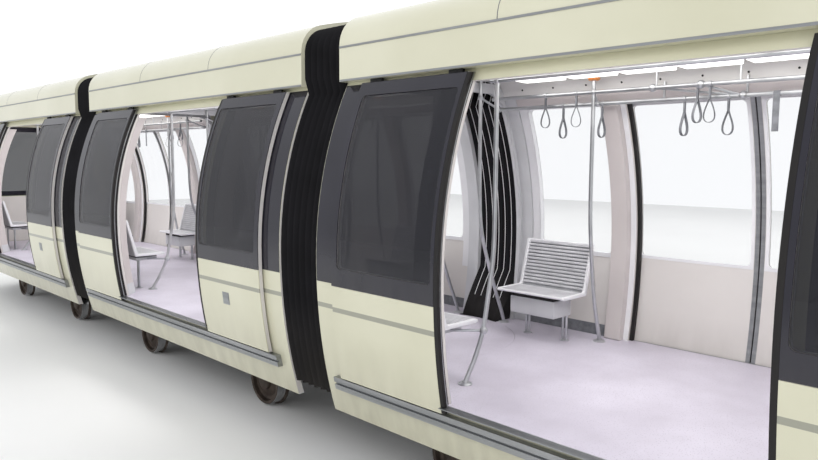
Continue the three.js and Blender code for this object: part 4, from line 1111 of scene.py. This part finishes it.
for name, side in outerSections:
    body = name + "_body"
    slots = bmesh.new()
    for i in range(grille["count"]):
        low = grille["low"] + i * grille["pitch"]
        pour(slots, noseBlock(around(0, grille["half"]), (low, low + grille["slot"])))
    skin = noseSkin(0.0, noseForm["skin"])
    for cutter in (screenCutter(0), noseBlock(around(0, lampBand["half"]), lampBand["z"]), slots):
        skin = carve(skin, cutter)
    finishNose(name, side, "nose_skin", skin, ivoryEnamel, replaces=[name + "_nose"])
    for title, depths, gap, middle, material in screenLayers:
        layer = carve(noseSkin(*depths), screenCutter(gap), "INTERSECT")
        if middle:
            layer = carve(layer, screenCutter(middle))
        finishNose(name, side, title, layer, material, replaces=() if middle else [name + "_windscreen"])
    cutter = noseBlock(around(0, lampBand["half"] - lampBand["gap"]), inset(lampBand["z"], lampBand["gap"]))
    lens = carve(noseSkin(*lampBand["depths"]), cutter, "INTERSECT")
    for face in lens.faces:
        if abs(face.calc_center_median().y) > lampBand["redFrom"]:
            face.material_index = 1
    finishNose(name, side, "lamp_lens", lens, lampLens, tailLens, replaces=[name + "_lamps"])
    # A wall panel behind the lamps and below the screen.
    cutter = noseBlock(noseLining["y"], noseLining["z"], x=noseLining["x"])
    lining = carve(noseSkin(*noseLining["depths"]), cutter, "INTERSECT")
    finishNose(name, side, "nose_lining", lining, liningLaminate)

    arm = bmesh.new()
    y0, z0 = wiper["pivot"]
    turnY, turnZ = math.sin(math.radians(wiper["turn"])), math.cos(math.radians(wiper["turn"]))

    def onScreen(along, proud):
        z = z0 + along * turnZ
        return side * (noseForm["back"] + noseReach(z) + proud), y0 + along * turnY, z

    long, blade = wiper["arm"], wiper["blade"]
    rod(arm, onScreen(0, wiper["hubIn"]), wiper["hub"], wiper["hubReach"], "X", 24)
    sweep(arm, [onScreen(s, wiper["armProud"]) for s in (0.0, long / 2, long)], wiper["armRadius"])
    sweep(arm, [onScreen(long + s, wiper["bladeProud"]) for s in (-blade / 2, 0, blade / 3)],
          wiper["bladeRadius"])
    finished(name + "_wiper", arm, body, fittingBlack, slot="bellows_rubber")

    row = min(range(len(crossLine)), key=lambda i: abs(crossLine[i][1] - deckPlan["z"]))
    rim = [nosePoint(row, i / 24)[:2] for i in range(25)]
    rim += [(x, -y) for x, y in reversed(rim[:-1])]
    back = noseForm["back"] + deckPlan["gap"]
    plan = [(side * (back + x * deckPlan["reach"]), y * deckPlan["width"], floorZ - deckPlan["thick"])
            for x, y in rim]
    deck = pushed(bmesh.new(), plan, (0, 0, deckPlan["thick"]))
    finished(name + "_nose_deck", deck, body, sheetVinyl)
    tow = block(bmesh.new(), span(side, towHead["x"], side * noseForm["back"]), towHead["y"], towHead["z"],
                corner=towHead["corner"])
    finished(name + "_tow_head", tow, body, chassisPaint)
print("noses ready")


# Running gear.
gear = {"rim": 0.258, "flats": 16, "offset": 1.25, "treadFrom": 0.2285, "treadY": 0.71,
        "springY": 0.52, "springRadius": 0.093, "springWire": 0.0085, "springZ": (-0.334, -0.246),
        "turns": 4, "boxY": 0.56, "cover": [(0, 0), (0.07, 0), (0.07, 0.012), (0.055, 0.02), (0, 0.02)],
        "boltRing": 0.06, "bolt": 0.008, "boltReach": (-0.002, 0.026)}
# The CAD wheels stand on a flat of their rims.
axleZ = gear["rim"] * math.cos(math.pi / gear["flats"]) - floorZ
wheelLine = [  # radius, distance from the axle's middle
    (0, 0.82), (0.07, 0.82), (0.085, 0.812), (0.095, 0.79), (0.16, 0.765), (0.19, 0.775), (0.2, 0.808),
    (0.226, 0.811), (0.23, 0.806), (0.231, 0.76), (0.232, 0.714), (0.237, 0.706), (0.247, 0.704),
    (0.253, 0.698), (0.253, 0.69), (0.247, 0.684), (0.2, 0.686), (0.19, 0.7), (0.12, 0.715), (0.1, 0.7),
    (0.09, 0.69), (0.064, 0.688)]
underBoxes = [  # x, y, z of the cases hung under each floor
    ((-0.62, 0.05), (0.15, 0.72), (-0.47, -0.245)), ((0.2, 0.66), (-0.72, -0.2), (-0.45, -0.245)),
    ((-0.6, -0.1), (-0.7, -0.22), (-0.42, -0.245))]
boxTrim = {"corner": 0.015, "straps": (0.25, 0.75), "half": 0.015, "thick": 0.003, "strapCorner": 0.002}
for name, cx, body, inner in sections:
    springs, covers, boxes = bmesh.new(), bmesh.new(), bmesh.new()
    low, top = gear["springZ"]
    count = gear["turns"] * 12
    for letter, side in ends.items():
        x = cx + side * gear["offset"]
        wheels = bmesh.new()
        lathe(wheels, wheelLine + [(r, -y) for r, y in reversed(wheelLine)], (x, 0, axleZ), "Y", 64)
        for face in wheels.faces:
            middle = face.calc_center_median()
            radius = math.hypot(middle.x - x, middle.z - axleZ - floorZ)
            if radius > gear["treadFrom"] and abs(middle.y) > gear["treadY"]:
                face.material_index = 1
        axle = f"{name}_wheelset_{letter}"
        finished(axle + "_wheels", wheels, axle, wheelSteel, polishedTread, replaces=[axle])
        for hand in sides.values():
            coil = []
            for i in range(count + 1):
                angle = 2 * math.pi * i / 12
                coil.append((x + gear["springRadius"] * math.cos(angle),
                             hand * gear["springY"] + gear["springRadius"] * math.sin(angle),
                             low + (top - low) * i / count))
            sweep(springs, coil, gear["springWire"], rounded=True, resolution=1)
            lathe(covers, gear["cover"], (x, hand * gear["boxY"], axleZ), "Y")
            for i in range(6):
                angle = i * math.pi / 3
                bolt = (x + gear["boltRing"] * math.cos(angle), hand * gear["boxY"],
                        axleZ + gear["boltRing"] * math.sin(angle))
                rod(covers, bolt, gear["bolt"], gear["boltReach"], "Y", 6)
    for x, y, z in underBoxes:
        block(boxes, (cx + x[0], cx + x[1]), y, z, corner=boxTrim["corner"])
        for place in boxTrim["straps"]:
            middle = cx + x[0] + (x[1] - x[0]) * place
            block(boxes, around(middle, boxTrim["half"]), inset(y, -boxTrim["thick"]),
                  (z[0] - boxTrim["thick"], z[1]), corner=boxTrim["strapCorner"])
    finished(name + "_coil_springs", springs, body, fittingBlack)
    finished(name + "_axle_box_covers", covers, body, chassisPaint)
    finished(name + "_underfloor_boxes", boxes, body, chassisPaint)
print("running gear ready")


# Nodes whose CAD shape stays get their finish.
carried = ("underframe", "running_frame", "cable_grip")
for nodeName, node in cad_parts.items():
    if nodeName.endswith(carried):
        node.data.materials.clear()
        node.data.materials.append(chassisPaint)

bpy.context.view_layer.update()
